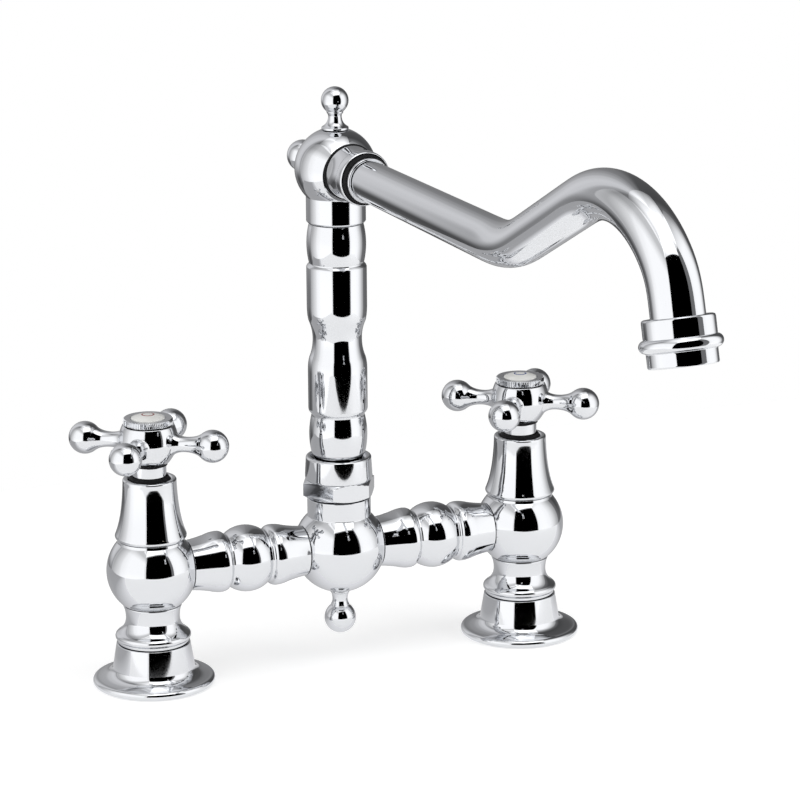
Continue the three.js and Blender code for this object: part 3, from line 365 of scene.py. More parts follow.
def finished(name, body, place, finish, rides, *nodes_replaced, smooth=35):
    """Puts a body in its place, gives it the material of its finish, and lets it ride on a CAD
    body. The finish is a material and a slot name; the slot name is not used."""
    material, slot = finish
    bmesh.ops.transform(body, matrix=place, verts=body.verts)
    mesh = bpy.data.meshes.new(name)
    body.to_mesh(mesh)
    body.free()
    mesh.shade_smooth()
    mesh.set_sharp_from_angle(angle=math.radians(smooth))
    mesh.materials.append(material)
    piece = bpy.data.objects.new(name, mesh)
    bpy.context.scene.collection.objects.link(piece)
    even = piece.modifiers.new("even shading", "WEIGHTED_NORMAL")
    even.keep_sharp = True
    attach(piece, rides)
    if nodes_replaced:
        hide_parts(*nodes_replaced)
    return piece


def at(x, y, z):
    return Matrix.Translation(Vector((x, y, z)) * MM)


def pillar(side):
    """The place of the hot or the cold pillar, with its foot on the deck."""
    return at(side * HALF_CENTRES, 0, 0)


def on_pillars(name, outline, finish, node="", turns=False, soften=0.3):
    """A turned piece on each pillar. It may stand for a CAD node of its side and may turn with
    the handle."""
    for tag, side in SIDES:
        nodes_replaced = [f"{node}_{tag}"] if node else []
        finished(f"{name}_{tag}", turned(outline, soften), pillar(side), finish,
                 f"handle_{tag}" if turns else "body", *nodes_replaced)


def effect(name, inputs, outputs):
    """A node group with named inputs and outputs, and the nodes at its two ends."""
    group = bpy.data.node_groups.new(name, "ShaderNodeTree")
    for in_out, sockets in (("INPUT", inputs), ("OUTPUT", outputs)):
        for label, kind in sockets.items():
            group.interface.new_socket(label, in_out=in_out, socket_type=f"NodeSocket{kind}")
    return group, group.nodes.new("NodeGroupInput"), group.nodes.new("NodeGroupOutput")


# Polishing leaves a very faint ripple in the plate, and fingers and dust leave it a little duller
# in patches. The group gives that ripple and dulling to every metal of the faucet.
polish, given, gives = effect(
    "buffed surface",
    {"Ripple Size": "Float", "Ripple Depth": "Float", "Roughness": "Float", "Dulling": "Float"},
    {"Roughness": "Float", "Normal": "Vector"})
where = add_node(polish, "ShaderNodeTexCoord")
ripple = add_node(polish, "ShaderNodeTexNoise", {"Detail": 2})
patches = add_node(polish, "ShaderNodeTexNoise", {"Scale": 60, "Detail": 4})
dulled = add_node(polish, "ShaderNodeMapRange", {"From Min": 0.45, "From Max": 0.75, "To Min": 0})
extra = add_node(polish, "ShaderNodeMath", operation="ADD")
waves = add_node(polish, "ShaderNodeBump", {"Distance": BUMP_HEIGHT})
wire(polish,
     (where, "Object", ripple, "Vector"),
     (where, "Object", patches, "Vector"),
     (given, "Ripple Size", ripple, "Scale"),
     (given, "Ripple Depth", waves, "Strength"),
     (ripple, "Fac", waves, "Height"),
     (patches, "Fac", dulled, "Value"),
     (given, "Dulling", dulled, "To Max"),
     (given, "Roughness", extra, 0),
     (dulled, "Result", extra, 1),
     (extra, 0, gives, "Roughness"),
     (waves, "Normal", gives, "Normal"))


def metal(name, colour, roughness, ripple_size, ripple_depth, dulling):
    """A bare or plated metal with the buffed surface on it."""
    material, tree, shader = principled(name, {"Base Color": (*colour, 1), "Metallic": 1})
    surface = add_node(tree, "ShaderNodeGroup", {
        "Ripple Size": ripple_size, "Ripple Depth": ripple_depth, "Roughness": roughness,
        "Dulling": dulling}, node_tree=polish)
    wire(tree, (surface, "Roughness", shader, "Roughness"), (surface, "Normal", shader, "Normal"))
    return material


chrome = (metal("polished chrome", (0.70, 0.71, 0.73), 0.04, 90, 0.02, 0.03), "chrome")

flange_seat = GASKET_THICKNESS + FIT
rim = FLANGE_EDGE / 2
flange_outline = [
    (GASKET_RADIUS + FIT, 0),
    *arc(FLANGE_RADIUS - rim, rim, rim, -90, 90, 16),
    *sweep((FLANGE_RADIUS - rim - 0.4, FLANGE_EDGE), BELL_LEAN, BELL_ROOT, 28),
    BELL_TOP,
    (SOCKET_RADIUS + FIT, BELL_TOP[1]),
    (SOCKET_RADIUS + FIT, BELL_TOP[1] - BELL_CROWN),
    (BELL_TOP[0] - BELL_WALL, BELL_TOP[1] - BELL_CROWN - 0.5),
    (BELL_ROOT[0] - BELL_WALL, BELL_ROOT[1]),
    (HOLLOW_ROOT, flange_seat + 1.6),
    (HOLLOW_ROOT, flange_seat),
    (GASKET_RADIUS + FIT, flange_seat),
]
on_pillars("flange", flange_outline, chrome, "base_flange")


# ------------------------------------------------
# Deck gaskets and inlet sockets: black rubber rings under the flanges, and brass sockets with an
# inside thread for the supply hoses. They show only from below and round the foot's edge.
GASKET_BORE = 17.3
SOCKET_BORE = 7.2
SOCKET_START = 1
SOCKET_DEPTH = 12
SOCKET_TOP = 24.1
WATERWAY = 5
THREAD_PITCH = 1.5
THREAD_DEPTH = 0.8

# Rubber, ceramic, plastic and porcelain are all a little uneven in colour. The group mixes two
# near shades by a fine grain, and gives the grain as well.
speckle, given, gives = effect("fine speckle",
                               {"Grain Size": "Float", "Light": "Color", "Dark": "Color"},
                               {"Color": "Color", "Grain": "Float"})
where = add_node(speckle, "ShaderNodeTexCoord")
grain = add_node(speckle, "ShaderNodeTexNoise", {"Detail": 3})
spread = add_node(speckle, "ShaderNodeMapRange", {"From Min": 0.35, "From Max": 0.65})
shade = add_node(speckle, "ShaderNodeMix", data_type="RGBA")
wire(speckle,
     (where, "Object", grain, "Vector"),
     (given, "Grain Size", grain, "Scale"),
     (grain, "Fac", spread, "Value"),
     (spread, "Result", shade, "Factor"),
     (given, "Dark", shade, "A"),
     (given, "Light", shade, "B"),
     (shade, "Result", gives, "Color"),
     (grain, "Fac", gives, "Grain"))


def speckled(name, light, dark, roughness, grain_size):
    """A non-metal with the fine speckle in its colour, its node tree, shader and speckle node."""
    material, tree, shader = principled(name, {"Roughness": roughness})
    surface = add_node(tree, "ShaderNodeGroup", {
        "Grain Size": grain_size, "Light": (*light, 1), "Dark": (*dark, 1)}, node_tree=speckle)
    wire(tree, (surface, "Color", shader, "Base Color"))
    return material, tree, shader, surface


black, tree, shader, surface = speckled("black rubber", (0.014, 0.014, 0.015),
                                        (0.006, 0.006, 0.007), 0.6, 1200)
shader.inputs["Specular IOR Level"].default_value = 0.15
bumps = add_node(tree, "ShaderNodeBump", {"Strength": 0.2, "Distance": BUMP_HEIGHT})
wire(tree, (surface, "Grain", bumps, "Height"), (bumps, "Normal", shader, "Normal"))
rubber = (black, "rubber")
brass = (metal("machined brass", (0.78, 0.60, 0.30), 0.22, 700, 0.15, 0.1), "brass")

gasket_outline = [(GASKET_BORE, 0), (GASKET_RADIUS, 0), (GASKET_RADIUS, GASKET_THICKNESS),
                  (GASKET_BORE, GASKET_THICKNESS)]
thread = []
for i in range(int((SOCKET_DEPTH - 1) / THREAD_PITCH)):
    crest = SOCKET_START + SOCKET_DEPTH - 0.5 - i * THREAD_PITCH
    thread += [(SOCKET_BORE, crest), (SOCKET_BORE + THREAD_DEPTH, crest - THREAD_PITCH / 2)]
socket_outline = [
    (SOCKET_BORE + 0.6, SOCKET_START), (SOCKET_RADIUS, SOCKET_START), (SOCKET_RADIUS, SOCKET_TOP),
    (WATERWAY, SOCKET_TOP), (WATERWAY, SOCKET_START + SOCKET_DEPTH),
    (SOCKET_BORE, SOCKET_START + SOCKET_DEPTH), *thread,
]
on_pillars("gasket", gasket_outline, rubber, "base_gasket")
on_pillars("hose_socket", socket_outline, brass, "inlet_socket", soften=0.1)


# ------------------------------------------------
# Pedestals: a round bead over the bell and a concave waist above it, turned from one piece of
# brass and chromed, with a spigot that screws into the valve body.
PEDESTAL_FOOT = BELL_TOP[1] + FIT
SKIRT_RADIUS = 16.95
SKIRT_ROUNDING = 1.7
SKIRT_HEIGHT = 22.55
WAIST_RADIUS = 12.05
WAIST_HEIGHT = 31
WAIST_TOP = 37
SPIGOT_RADIUS = 8.5
SPIGOT_LENGTH = 4
SOCKET_ENTRY = 4.8

pedestal_outline = [
    (SOCKET_RADIUS + FIT, PEDESTAL_FOOT),
    (15.7, PEDESTAL_FOOT),
    (15.9, PEDESTAL_FOOT + 0.3),
    (15.85, PEDESTAL_FOOT + 0.9),
    *arc(SKIRT_RADIUS - SKIRT_ROUNDING, SKIRT_HEIGHT, SKIRT_ROUNDING, -62, 58, 20),
    *sweep((16.0, 24.2), (12.15, 26.6), (WAIST_RADIUS, WAIST_HEIGHT), 20),
    *sweep((WAIST_RADIUS, WAIST_HEIGHT), (WAIST_RADIUS, WAIST_TOP - 3), (12.9, WAIST_TOP - 0.9),
           10)[1:],
    (13.1, WAIST_TOP - 0.5),
    (13.0, WAIST_TOP),
    (SPIGOT_RADIUS, WAIST_TOP),
    (SPIGOT_RADIUS, WAIST_TOP + SPIGOT_LENGTH),
    (WATERWAY, WAIST_TOP + SPIGOT_LENGTH),
    (WATERWAY, PEDESTAL_FOOT + SOCKET_ENTRY),
    (SOCKET_RADIUS + FIT, PEDESTAL_FOOT + SOCKET_ENTRY),
]
on_pillars("waisted_pedestal", pedestal_outline, chrome, "pedestal")


# ------------------------------------------------
# Valve bodies: cast brass balls with a short neck, a spot-faced seat for the bridge arm and a
# cavity for the cartridge. Polished and chromed outside, bare in the cavity.
VALVE_RADIUS = 20.2
VALVE_SHOULDER = 66.2
VALVE_TOP = 67.4
VALVE_NECK = 14.9
CAVITY = 11
CAVITY_FLOOR = 44
ARM_END = 11.3
ARM_SOCKET = 8.4


def height_on_ball(ball, radius):
    """How far from a ball's centre a circle of the radius lies on it."""
    return math.sqrt(ball * ball - radius * radius)


def hollowed(body, *tools):
    """The body with other bodies cut away or joined on, by exact booleans on the meshes."""
    holder = bpy.data.meshes.new("work piece")
    body.to_mesh(holder)
    body.free()
    work = bpy.data.objects.new("work piece", holder)
    bpy.context.scene.collection.objects.link(work)
    helpers = []
    for tool, operation in tools:
        tool_mesh = bpy.data.meshes.new("cutter")
        tool.to_mesh(tool_mesh)
        tool.free()
        cutter = bpy.data.objects.new("cutter", tool_mesh)
        bpy.context.scene.collection.objects.link(cutter)
        step = work.modifiers.new("cut", "BOOLEAN")
        step.object = cutter
        step.operation = operation
        step.solver = "EXACT"
        helpers.append(cutter)
    bpy.context.view_layer.update()
    shaped = work.evaluated_get(bpy.context.evaluated_depsgraph_get()).to_mesh()
    result = bmesh.new()
    result.from_mesh(shaped)
    work.to_mesh_clear()
    for used in [work, *helpers]:
        used_mesh = used.data
        bpy.data.objects.remove(used)
        bpy.data.meshes.remove(used_mesh)
    bmesh.ops.remove_doubles(result, verts=result.verts, dist=2e-7)
    bmesh.ops.dissolve_degenerate(result, dist=1e-7, edges=result.edges)
    return result


def seat_cutter(hole, depth, face, face_radius, direction, centre):
    """A drill for a hole from depth to face, with a spot face from there outwards."""
    cutter = turned([(0, depth), (hole, depth), (hole, face), (face_radius, face),
                     (face_radius, face + face_radius), (0, face + face_radius)], soften=0)
    aim = Vector(direction).to_track_quat("Z", "Y").to_matrix().to_4x4()
    bmesh.ops.transform(cutter, matrix=at(*centre) @ aim, verts=cutter.verts)
    return cutter


valve_foot = WAIST_TOP + FIT
low = math.degrees(math.asin((valve_foot - BRIDGE_HEIGHT) / VALVE_RADIUS))
high = math.degrees(math.asin((VALVE_SHOULDER - BRIDGE_HEIGHT) / VALVE_RADIUS))
valve_outline = [
    (SPIGOT_RADIUS + FIT, valve_foot),
    *arc(0, BRIDGE_HEIGHT, VALVE_RADIUS, low, high, 44),
    (VALVE_NECK, VALVE_TOP - 0.6),
    (VALVE_NECK, VALVE_TOP),
    (CAVITY, VALVE_TOP),
    (CAVITY, CAVITY_FLOOR),
    (WATERWAY, CAVITY_FLOOR),
    (WATERWAY, valve_foot + SPIGOT_LENGTH),
    (SPIGOT_RADIUS + FIT, valve_foot + SPIGOT_LENGTH),
]
valve_face = height_on_ball(VALVE_RADIUS, ARM_END)
for tag, side in SIDES:
    ball = turned(valve_outline, soften=0.2)
    port = seat_cutter(ARM_SOCKET, 0, valve_face, ARM_END + 2, (-side, 0, 0), (0, 0, BRIDGE_HEIGHT))
    finished(f"valve_ball_{tag}", hollowed(ball, (port, "DIFFERENCE")), pillar(side), chrome,
             "body", f"valve_body_{tag}")


# ------------------------------------------------
# Bonnets: bell-shaped chromed covers screwed down over the cartridges, with a rolled lip that
# overhangs the ball, a concave flank and a deep mouth that the handle's sleeve turns in. A black
# rubber wiper lies in the mouth and keeps water off the spindle.
BONNET_FOOT = VALVE_TOP + FIT
BONNET_LIP = 16.05
BONNET_TOP = 95.5
BONNET_MOUTH = 9.2
BONNET_INSIDE = 13.3
WIPER_BORE = 7.8
WIPER_FOOT = 92

bonnet_outline = [
    (BONNET_INSIDE, BONNET_FOOT),
    (BONNET_LIP - 0.8, BONNET_FOOT),
    (BONNET_LIP - 0.1, BONNET_FOOT + 0.9),
    (BONNET_LIP, BONNET_FOOT + 1.5),
    *sweep((BONNET_LIP - 0.1, BONNET_FOOT + 2.0), (12.6, 77.5), (12.0, 93.6), 30),
    *arc(11.1, BONNET_TOP - 0.9, 0.9, 0, 90, 6),
    (BONNET_MOUTH + 0.8, BONNET_TOP),
    (BONNET_MOUTH + 0.1, BONNET_TOP - 0.9),
    (BONNET_MOUTH, 86),
    (BONNET_MOUTH, 82),
    (10.2, 79),
    (BONNET_INSIDE, 72),
]
wiper_edge = BONNET_MOUTH - 0.02
wiper_outline = [(WIPER_BORE, WIPER_FOOT), (wiper_edge, WIPER_FOOT), (wiper_edge, BONNET_TOP - 0.6),
                 (9.0, BONNET_TOP + 0.1), (8.6, BONNET_TOP + 0.8), (8.1, BONNET_TOP + 1.3),
                 (WIPER_BORE, BONNET_TOP + 1.1)]
on_pillars("bell_bonnet", bonnet_outline, chrome, "bonnet")
on_pillars("mouth_wiper", wiper_outline, rubber, soften=0.1)


# ------------------------------------------------
# Valve insides: ceramic discs, a brass cartridge and spindle, rubber seals and a steel screw.
# They are hidden in the finished faucet, so the solids of the frame stay and get their finish.
steel = metal("plain stainless steel", (0.60, 0.60, 0.61), 0.2, 500, 0.1, 0.08)
disc_ceramic = speckled("lapped ceramic", (0.90, 0.90, 0.87), (0.84, 0.84, 0.80), 0.35, 900)[0]
acetal = speckled("natural acetal", (0.84, 0.82, 0.76), (0.78, 0.76, 0.70), 0.45, 300)[0]


def refinish(material, *nodes):
    """Gives CAD nodes that stay a material."""
    for node in nodes:
        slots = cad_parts[node].data.materials
        slots.clear()
        slots.append(material)


for tag, side in SIDES:
    refinish(rubber[0], f"seat_seal_{tag}", f"arm_seal_inner_{tag}", f"arm_seal_outer_{tag}")
    refinish(disc_ceramic, f"fixed_disc_{tag}", f"moving_disc_{tag}")
    refinish(brass[0], f"cartridge_body_{tag}", f"spindle_{tag}")
    refinish(steel, f"handle_screw_{tag}")
refinish(rubber[0], "riser_seal_lower", "riser_seal_upper", "tube_seal", "aerator_washer")
refinish(acetal, "thrust_ring")


# ------------------------------------------------
# Handle sleeves: short tubes round the spindle, between the bonnet's mouth and the hub, cut from
# brass, polished and chromed. They slide on before the hub and turn with it.
SLEEVE_RADIUS = 7.6
SLEEVE_BORE = 4.3
SLEEVE_BOTTOM = 83.5
SLEEVE_TOP = 101.6

sleeve_outline = [(SLEEVE_BORE, SLEEVE_BOTTOM), (SLEEVE_RADIUS, SLEEVE_BOTTOM),
                  (SLEEVE_RADIUS, SLEEVE_TOP), (SLEEVE_BORE, SLEEVE_TOP)]
on_pillars("spindle_sleeve", sleeve_outline, chrome, "handle_sleeve", turns=True)


# ------------------------------------------------
# Cross handles: an onion-shaped hub with four waisted arms that end in balls, cast in one piece,
# polished and chromed. The screw under the button pulls it down on the spindle, on a thin black
# rubber washer over the sleeve.
HANDLE_HEIGHT = 112
HUB_BOTTOM = SLEEVE_TOP + 1.05
HUB_TOP = 119.9
HUB_RADIUS = 13.2
HUB_COUNTERBORE = 6.5
HUB_WEB = 3.7
SPLINE_BORE = 3.8
SCREW_HOLE = 2.2
ARM_TURN = -38
ARM_BALL = 7.3
ARM_BALL_AT = 29.8
WASHER_RADIUS = SLEEVE_RADIUS + 0.6
WASHER_PLAY = 0.03
ARM_NECK = 3.4
ARM_BLEND = math.radians(50)

hub_outline = [
    (SPLINE_BORE, HUB_BOTTOM),
    (8.3, HUB_BOTTOM),
    *sweep((9.0, HUB_BOTTOM + 0.25), (12.6, HANDLE_HEIGHT - 4.6), (HUB_RADIUS, HANDLE_HEIGHT), 20),
    *sweep((HUB_RADIUS, HANDLE_HEIGHT), (13.1, HANDLE_HEIGHT + 4.6), (11.5, HUB_TOP), 16)[1:],
    (HUB_COUNTERBORE, HUB_TOP),
    (HUB_COUNTERBORE, HANDLE_HEIGHT),
    (SCREW_HOLE, HANDLE_HEIGHT),
    (SCREW_HOLE, HANDLE_HEIGHT - HUB_WEB),
    (SPLINE_BORE, HANDLE_HEIGHT - HUB_WEB),
]
washer_low = SLEEVE_TOP + WASHER_PLAY
washer_high = HUB_BOTTOM - WASHER_PLAY
washer_outline = [(SLEEVE_BORE, washer_low), (WASHER_RADIUS, washer_low),
                  (WASHER_RADIUS, washer_high), (SLEEVE_BORE, washer_high)]
blend_at = ARM_BALL_AT - ARM_BALL * math.cos(ARM_BLEND)
blend_radius = ARM_BALL * math.sin(ARM_BLEND)
lean_at = blend_at - (blend_radius - ARM_NECK) * math.tan(ARM_BLEND)
arm_outline = [
    (0, 9),
    (5.4, 9),
    *sweep((5.4, 11.6), (3.5, 13.4), (ARM_NECK, 17.4), 14),
    *sweep((ARM_NECK, 17.4), (ARM_NECK, lean_at), (blend_radius, blend_at), 14)[1:-1],
    *arc(0, ARM_BALL_AT, ARM_BALL, -40, 90, 32)[:-1],
    (0, ARM_BALL_AT + ARM_BALL),
]
for tag, side in SIDES:
    arms = []
    for quarter in range(4):
        arm = turned(arm_outline, soften=0, steps=64)
        lie_down = Matrix.Rotation(math.pi / 2, 4, "Y")
        swing = Matrix.Rotation(math.radians(ARM_TURN + 90 * quarter), 4, "Z")
        bmesh.ops.transform(arm, matrix=at(0, 0, HANDLE_HEIGHT) @ swing @ lie_down, verts=arm.verts)
        arms.append((arm, "UNION"))
    cross = hollowed(turned(hub_outline, soften=0.2), *arms)
    finished(f"cross_handle_{tag}", cross, pillar(side), chrome, f"handle_{tag}",
             f"handle_cross_{tag}", smooth=28)

on_pillars("hub_washer", washer_outline, rubber, turns=True, soften=0.1)


# ------------------------------------------------
# Index rings: chromed rings with a finely knurled band and a flat rim, pressed into the hub, with
# a pocket for the button.
RING_BOTTOM = HUB_TOP + FIT
RING_RADIUS = 11.05
RING_TOP = RING_BOTTOM + 2.9
RING_FLOOR = RING_BOTTOM + 1.2
RING_POCKET = 7.85
KNURL_TEETH = 80
KNURL_DEPTH = 0.5
STEPS_PER_TOOTH = 4
RING_SPIGOT = 6.2
RING_BORE = 5.2
RING_SPIGOT_LENGTH = 3.2

ring_outline = [
    (RING_BORE, RING_BOTTOM - RING_SPIGOT_LENGTH),
    (RING_SPIGOT, RING_BOTTOM - RING_SPIGOT_LENGTH),
    (RING_SPIGOT, RING_BOTTOM),
    (RING_RADIUS - 0.45, RING_BOTTOM),
    (RING_RADIUS, RING_BOTTOM + 0.35),
    (RING_RADIUS, RING_TOP - 0.35),
    (RING_RADIUS - 0.45, RING_TOP),
    (RING_POCKET + 0.1, RING_TOP - 0.1),
    (RING_POCKET, RING_TOP - 0.3),
    (RING_POCKET, RING_FLOOR),
    (RING_BORE, RING_FLOOR),
]
for tag, side in SIDES:
    ring = turned(ring_outline, soften=0, steps=KNURL_TEETH * STEPS_PER_TOOTH)
    for vertex in ring.verts:
        on_band = RING_BOTTOM + 0.2 < vertex.co.z / MM < RING_TOP - 0.2
        outside = vertex.co.xy.length / MM > RING_RADIUS - 0.01
        turns = math.atan2(vertex.co.y, vertex.co.x) / (2 * math.pi)
        step = round(turns * KNURL_TEETH * STEPS_PER_TOOTH) % STEPS_PER_TOOTH
        if on_band and outside and step in (0, 1):
            vertex.co.xy *= (RING_RADIUS - KNURL_DEPTH) / RING_RADIUS
    finished(f"knurled_ring_{tag}", ring, pillar(side), chrome, f"handle_{tag}",
             f"index_ring_{tag}", smooth=30)


# ------------------------------------------------
# Index buttons: slightly domed, glazed white porcelain with a plain ring mark, red for hot and
# blue for cold.
BUTTON_RADIUS = 7.55
BUTTON_BOTTOM = RING_FLOOR + FIT
BUTTON_DOME = 3
MARK_RADIUS = 2.6
MARK_WIDTH = 0.64
RED = (0.30, 0.05, 0.04)
BLUE = (0.05, 0.09, 0.30)

button_outline = [
    (0, BUTTON_BOTTOM),
    (BUTTON_RADIUS - 0.2, BUTTON_BOTTOM),
    (BUTTON_RADIUS, BUTTON_BOTTOM + 0.25),
    (BUTTON_RADIUS, BUTTON_BOTTOM + 1.3),
    *sweep((BUTTON_RADIUS - 0.1, BUTTON_BOTTOM + 1.5),
           (BUTTON_RADIUS * 0.62, BUTTON_BOTTOM + BUTTON_DOME),
           (0, BUTTON_BOTTOM + BUTTON_DOME), 20)[:-1],
    (0, BUTTON_BOTTOM + BUTTON_DOME),
]

# Both buttons carry the same thin ring about their own centre. The group paints it over the glaze.
ring_mark, given, gives = effect(
    "painted ring",
    {"Glaze": "Color", "Paint": "Color", "Centre": "Vector", "Ring Radius": "Float",
     "Half Width": "Float"},
    {"Color": "Color"})
where = add_node(ring_mark, "ShaderNodeTexCoord")
offset = add_node(ring_mark, "ShaderNodeVectorMath", operation="SUBTRACT")
flatten = add_node(ring_mark, "ShaderNodeVectorMath", {1: (1, 1, 0)}, operation="MULTIPLY")
distance = add_node(ring_mark, "ShaderNodeVectorMath", operation="LENGTH")
from_line = add_node(ring_mark, "ShaderNodeMath", operation="SUBTRACT")
width = add_node(ring_mark, "ShaderNodeMath", operation="ABSOLUTE")
edge = add_node(ring_mark, "ShaderNodeMath", {1: 0.1 * MM}, operation="ADD")
on_line = add_node(ring_mark, "ShaderNodeMapRange", {"To Min": 1, "To Max": 0})
paint = add_node(ring_mark, "ShaderNodeMix", data_type="RGBA")
wire(ring_mark,
     (where, "Object", offset, 0),
     (given, "Centre", offset, 1),
     (offset, "Vector", flatten, 0),
     (flatten, "Vector", distance, 0),
     (distance, "Value", from_line, 0),
     (given, "Ring Radius", from_line, 1),
     (from_line, 0, width, 0),
     (width, 0, on_line, "Value"),
     (given, "Half Width", on_line, "From Min"),
     (given, "Half Width", edge, 0),
     (edge, 0, on_line, "From Max"),
     (on_line, "Result", paint, "Factor"),
     (given, "Glaze", paint, "A"),
     (given, "Paint", paint, "B"),
     (paint, "Result", gives, "Color"))


def porcelain(name, centre, mark):
    """White glaze with one thin ring painted under it about the button's own centre."""
    material, tree, shader, glaze = speckled(name, (0.86, 0.86, 0.84), (0.80, 0.80, 0.77), 0.12,
                                             180)
    shader.inputs["Coat Weight"].default_value = 0.6
    shader.inputs["Coat Roughness"].default_value = 0.05
    ring = add_node(tree, "ShaderNodeGroup", {
        "Paint": (*mark, 1), "Centre": (centre * MM, 0, 0), "Ring Radius": MARK_RADIUS * MM,
        "Half Width": MARK_WIDTH / 2 * MM}, node_tree=ring_mark)
    wire(tree, (glaze, "Color", ring, "Glaze"), (ring, "Color", shader, "Base Color"))
    return material


for (tag, side), mark in zip(SIDES, (RED, BLUE)):
    glaze = porcelain(f"porcelain {tag}", side * HALF_CENTRES, mark)
    finished(f"porcelain_button_{tag}", turned(button_outline, soften=0.1), pillar(side),
             (glaze, "porcelain"), f"handle_{tag}", f"index_button_{tag}")


# ------------------------------------------------
# Bridge arms: turned brass tubes between the mixing ball and each valve body. A cone rises to a
# round shoulder, a groove and a full round bulb stand in the middle, and the same runs back down.
MIXER_RADIUS = 21
BULB_RADIUS = 15.1
BULB_HALF = 8.6
BULB_RISE = 3.0
SHOULDER = 13.8
ARM_SPIGOT = 7.9
ARM_GROOVE = 6.5
ARM_BORE = 4.8

mixer_face = height_on_ball(MIXER_RADIUS, ARM_END)
arm_half = (HALF_CENTRES - valve_face - mixer_face) / 2 - FIT
arm_centre = mixer_face + FIT + arm_half
bulb_size = (BULB_HALF ** 2 + BULB_RISE ** 2) / (2 * BULB_RISE)
bulb_spread = math.degrees(math.asin(BULB_HALF / bulb_size))
half_arm = [
    *arc(BULB_RADIUS - bulb_size, 0, bulb_size, 0, bulb_spread, 14),
    (11.9, BULB_HALF + 0.3),
    (11.85, BULB_HALF + 0.9),
    (12.1, BULB_HALF + 1.3),
    *sweep((12.4, BULB_HALF + 1.6), (SHOULDER, 10.9), (SHOULDER, 13.2), 12),
    *sweep((SHOULDER, 13.2), (SHOULDER, 15.6), (12.9, 18.4), 10)[1:],
    *sweep((12.9, 18.4), (11.8, 22.6), (ARM_END, arm_half), 8)[1:],
    (ARM_SPIGOT, arm_half),
    (ARM_SPIGOT, arm_half + 1.6),
    (ARM_GROOVE, arm_half + 1.6),
    (ARM_GROOVE, arm_half + 3.7),
    (ARM_SPIGOT, arm_half + 3.7),
    (ARM_SPIGOT, arm_half + 5.5),
    (ARM_BORE, arm_half + 5.5),
]
arm_line = [(r, -z) for r, z in reversed(half_arm[1:])] + half_arm
for tag, side in SIDES:
    lie_down = Matrix.Rotation(side * math.pi / 2, 4, "Y")
    finished(f"turned_arm_{tag}", turned(arm_line, soften=0.15),
             at(side * arm_centre, 0, BRIDGE_HEIGHT) @ lie_down, chrome, "body",
             f"bridge_arm_{tag}")


# ------------------------------------------------
# Mixing ball: a cast brass ball with a seat for an arm on each side and a threaded neck above for
# the union nut. Hot and cold meet in it. Polished and chromed.
MIXER_NECK = 14.45
MIXER_NECK_TOP = 76.4
MIXER_THREAD = 13
MIXER_TOP = 88
MIXER_BORE = 9.7
MIXER_FLOOR = 46
FINIAL_STUD = 2.4
STUD_LENGTH = 8
HANGING_BASE = 4.6

foot_height = height_on_ball(MIXER_RADIUS, HANGING_BASE)
stud_hole = STUD_LENGTH + FIT
low = -math.degrees(math.asin(foot_height / MIXER_RADIUS))
high = math.degrees(math.acos(MIXER_NECK / MIXER_RADIUS))
mixer_outline = [
    (0, BRIDGE_HEIGHT - foot_height + stud_hole),
    (FINIAL_STUD + FIT, BRIDGE_HEIGHT - foot_height + stud_hole),
    (FINIAL_STUD + FIT, BRIDGE_HEIGHT - foot_height),
    *arc(0, BRIDGE_HEIGHT, MIXER_RADIUS, low, high, 52),
    (MIXER_NECK, MIXER_NECK_TOP),
    (MIXER_THREAD, MIXER_NECK_TOP + 0.4),
    (MIXER_THREAD, MIXER_TOP),
    (MIXER_BORE, MIXER_TOP),
    (MIXER_BORE, MIXER_FLOOR),
    (0, MIXER_FLOOR),
]
ports = [(seat_cutter(ARM_SOCKET, 0, mixer_face, ARM_END + 2, (side, 0, 0),
                      (0, 0, BRIDGE_HEIGHT)), "DIFFERENCE") for tag, side in SIDES]
finished("mixer_ball", hollowed(turned(mixer_outline, soften=0.2), *ports), at(0, 0, 0), chrome,
         "body", "mixing_ball")


# ------------------------------------------------
# Finials: small turned balls on flared necks, chromed, each with a stud screwed into the ball
# that carries it. One hangs below the mixing ball, one stands on the spout ball and one points
# backwards from it.
FINIAL_STEPS = 64


def finial_outline(carrier, base, disc, waist, waist_at, bead, reach, ball):
    """Heights are measured from the centre of the ball that carries the finial."""
    seat = height_on_ball(carrier, base)
    foot = seat + FIT
    neck_top = reach - height_on_ball(ball, bead)
    start = math.degrees(math.asin((neck_top - reach) / ball))
    return [
        (0, seat - STUD_LENGTH),
        (FINIAL_STUD, seat - STUD_LENGTH),
        (FINIAL_STUD, foot),
        (base, foot),
        (base, foot + disc),
        *sweep((base - 0.35, foot + disc + 0.25), (waist + 0.1, foot + disc + 1.6),
               (waist, waist_at), 12),
        *sweep((waist, waist_at), (waist + 0.05, neck_top - 1.6), (bead, neck_top - 0.5), 8)[1:],
        *arc(0, reach, ball, start, 90, 30)[:-1],
        (0, reach + ball),
    ]


hang = Matrix.Rotation(math.pi, 4, "X")
finished("hanging_finial",
         turned(finial_outline(MIXER_RADIUS, HANGING_BASE, 0.6, 3.45, 24.9, 4.2, 33.9, 7.2),
                0.15, FINIAL_STEPS),
         at(0, 0, BRIDGE_HEIGHT) @ hang, chrome, "body", "bottom_finial")


# ------------------------------------------------
# Union nut: a chamfered hexagon below a round collar, in one piece of chromed brass. It screws
# on the mixing ball's neck and holds the riser, which can turn in it.
NUT_FLATS = 15
NUT_BOTTOM = 77.2
NUT_HEX_TOP = 85.4
NUT_COLLAR = 15.2
NUT_TOP = 95.9
NUT_SEAT = 91.3
NUT_STEPS = 144
CHAMFER_HEIGHT = 1.38
CHAMFER_STEPS = 12

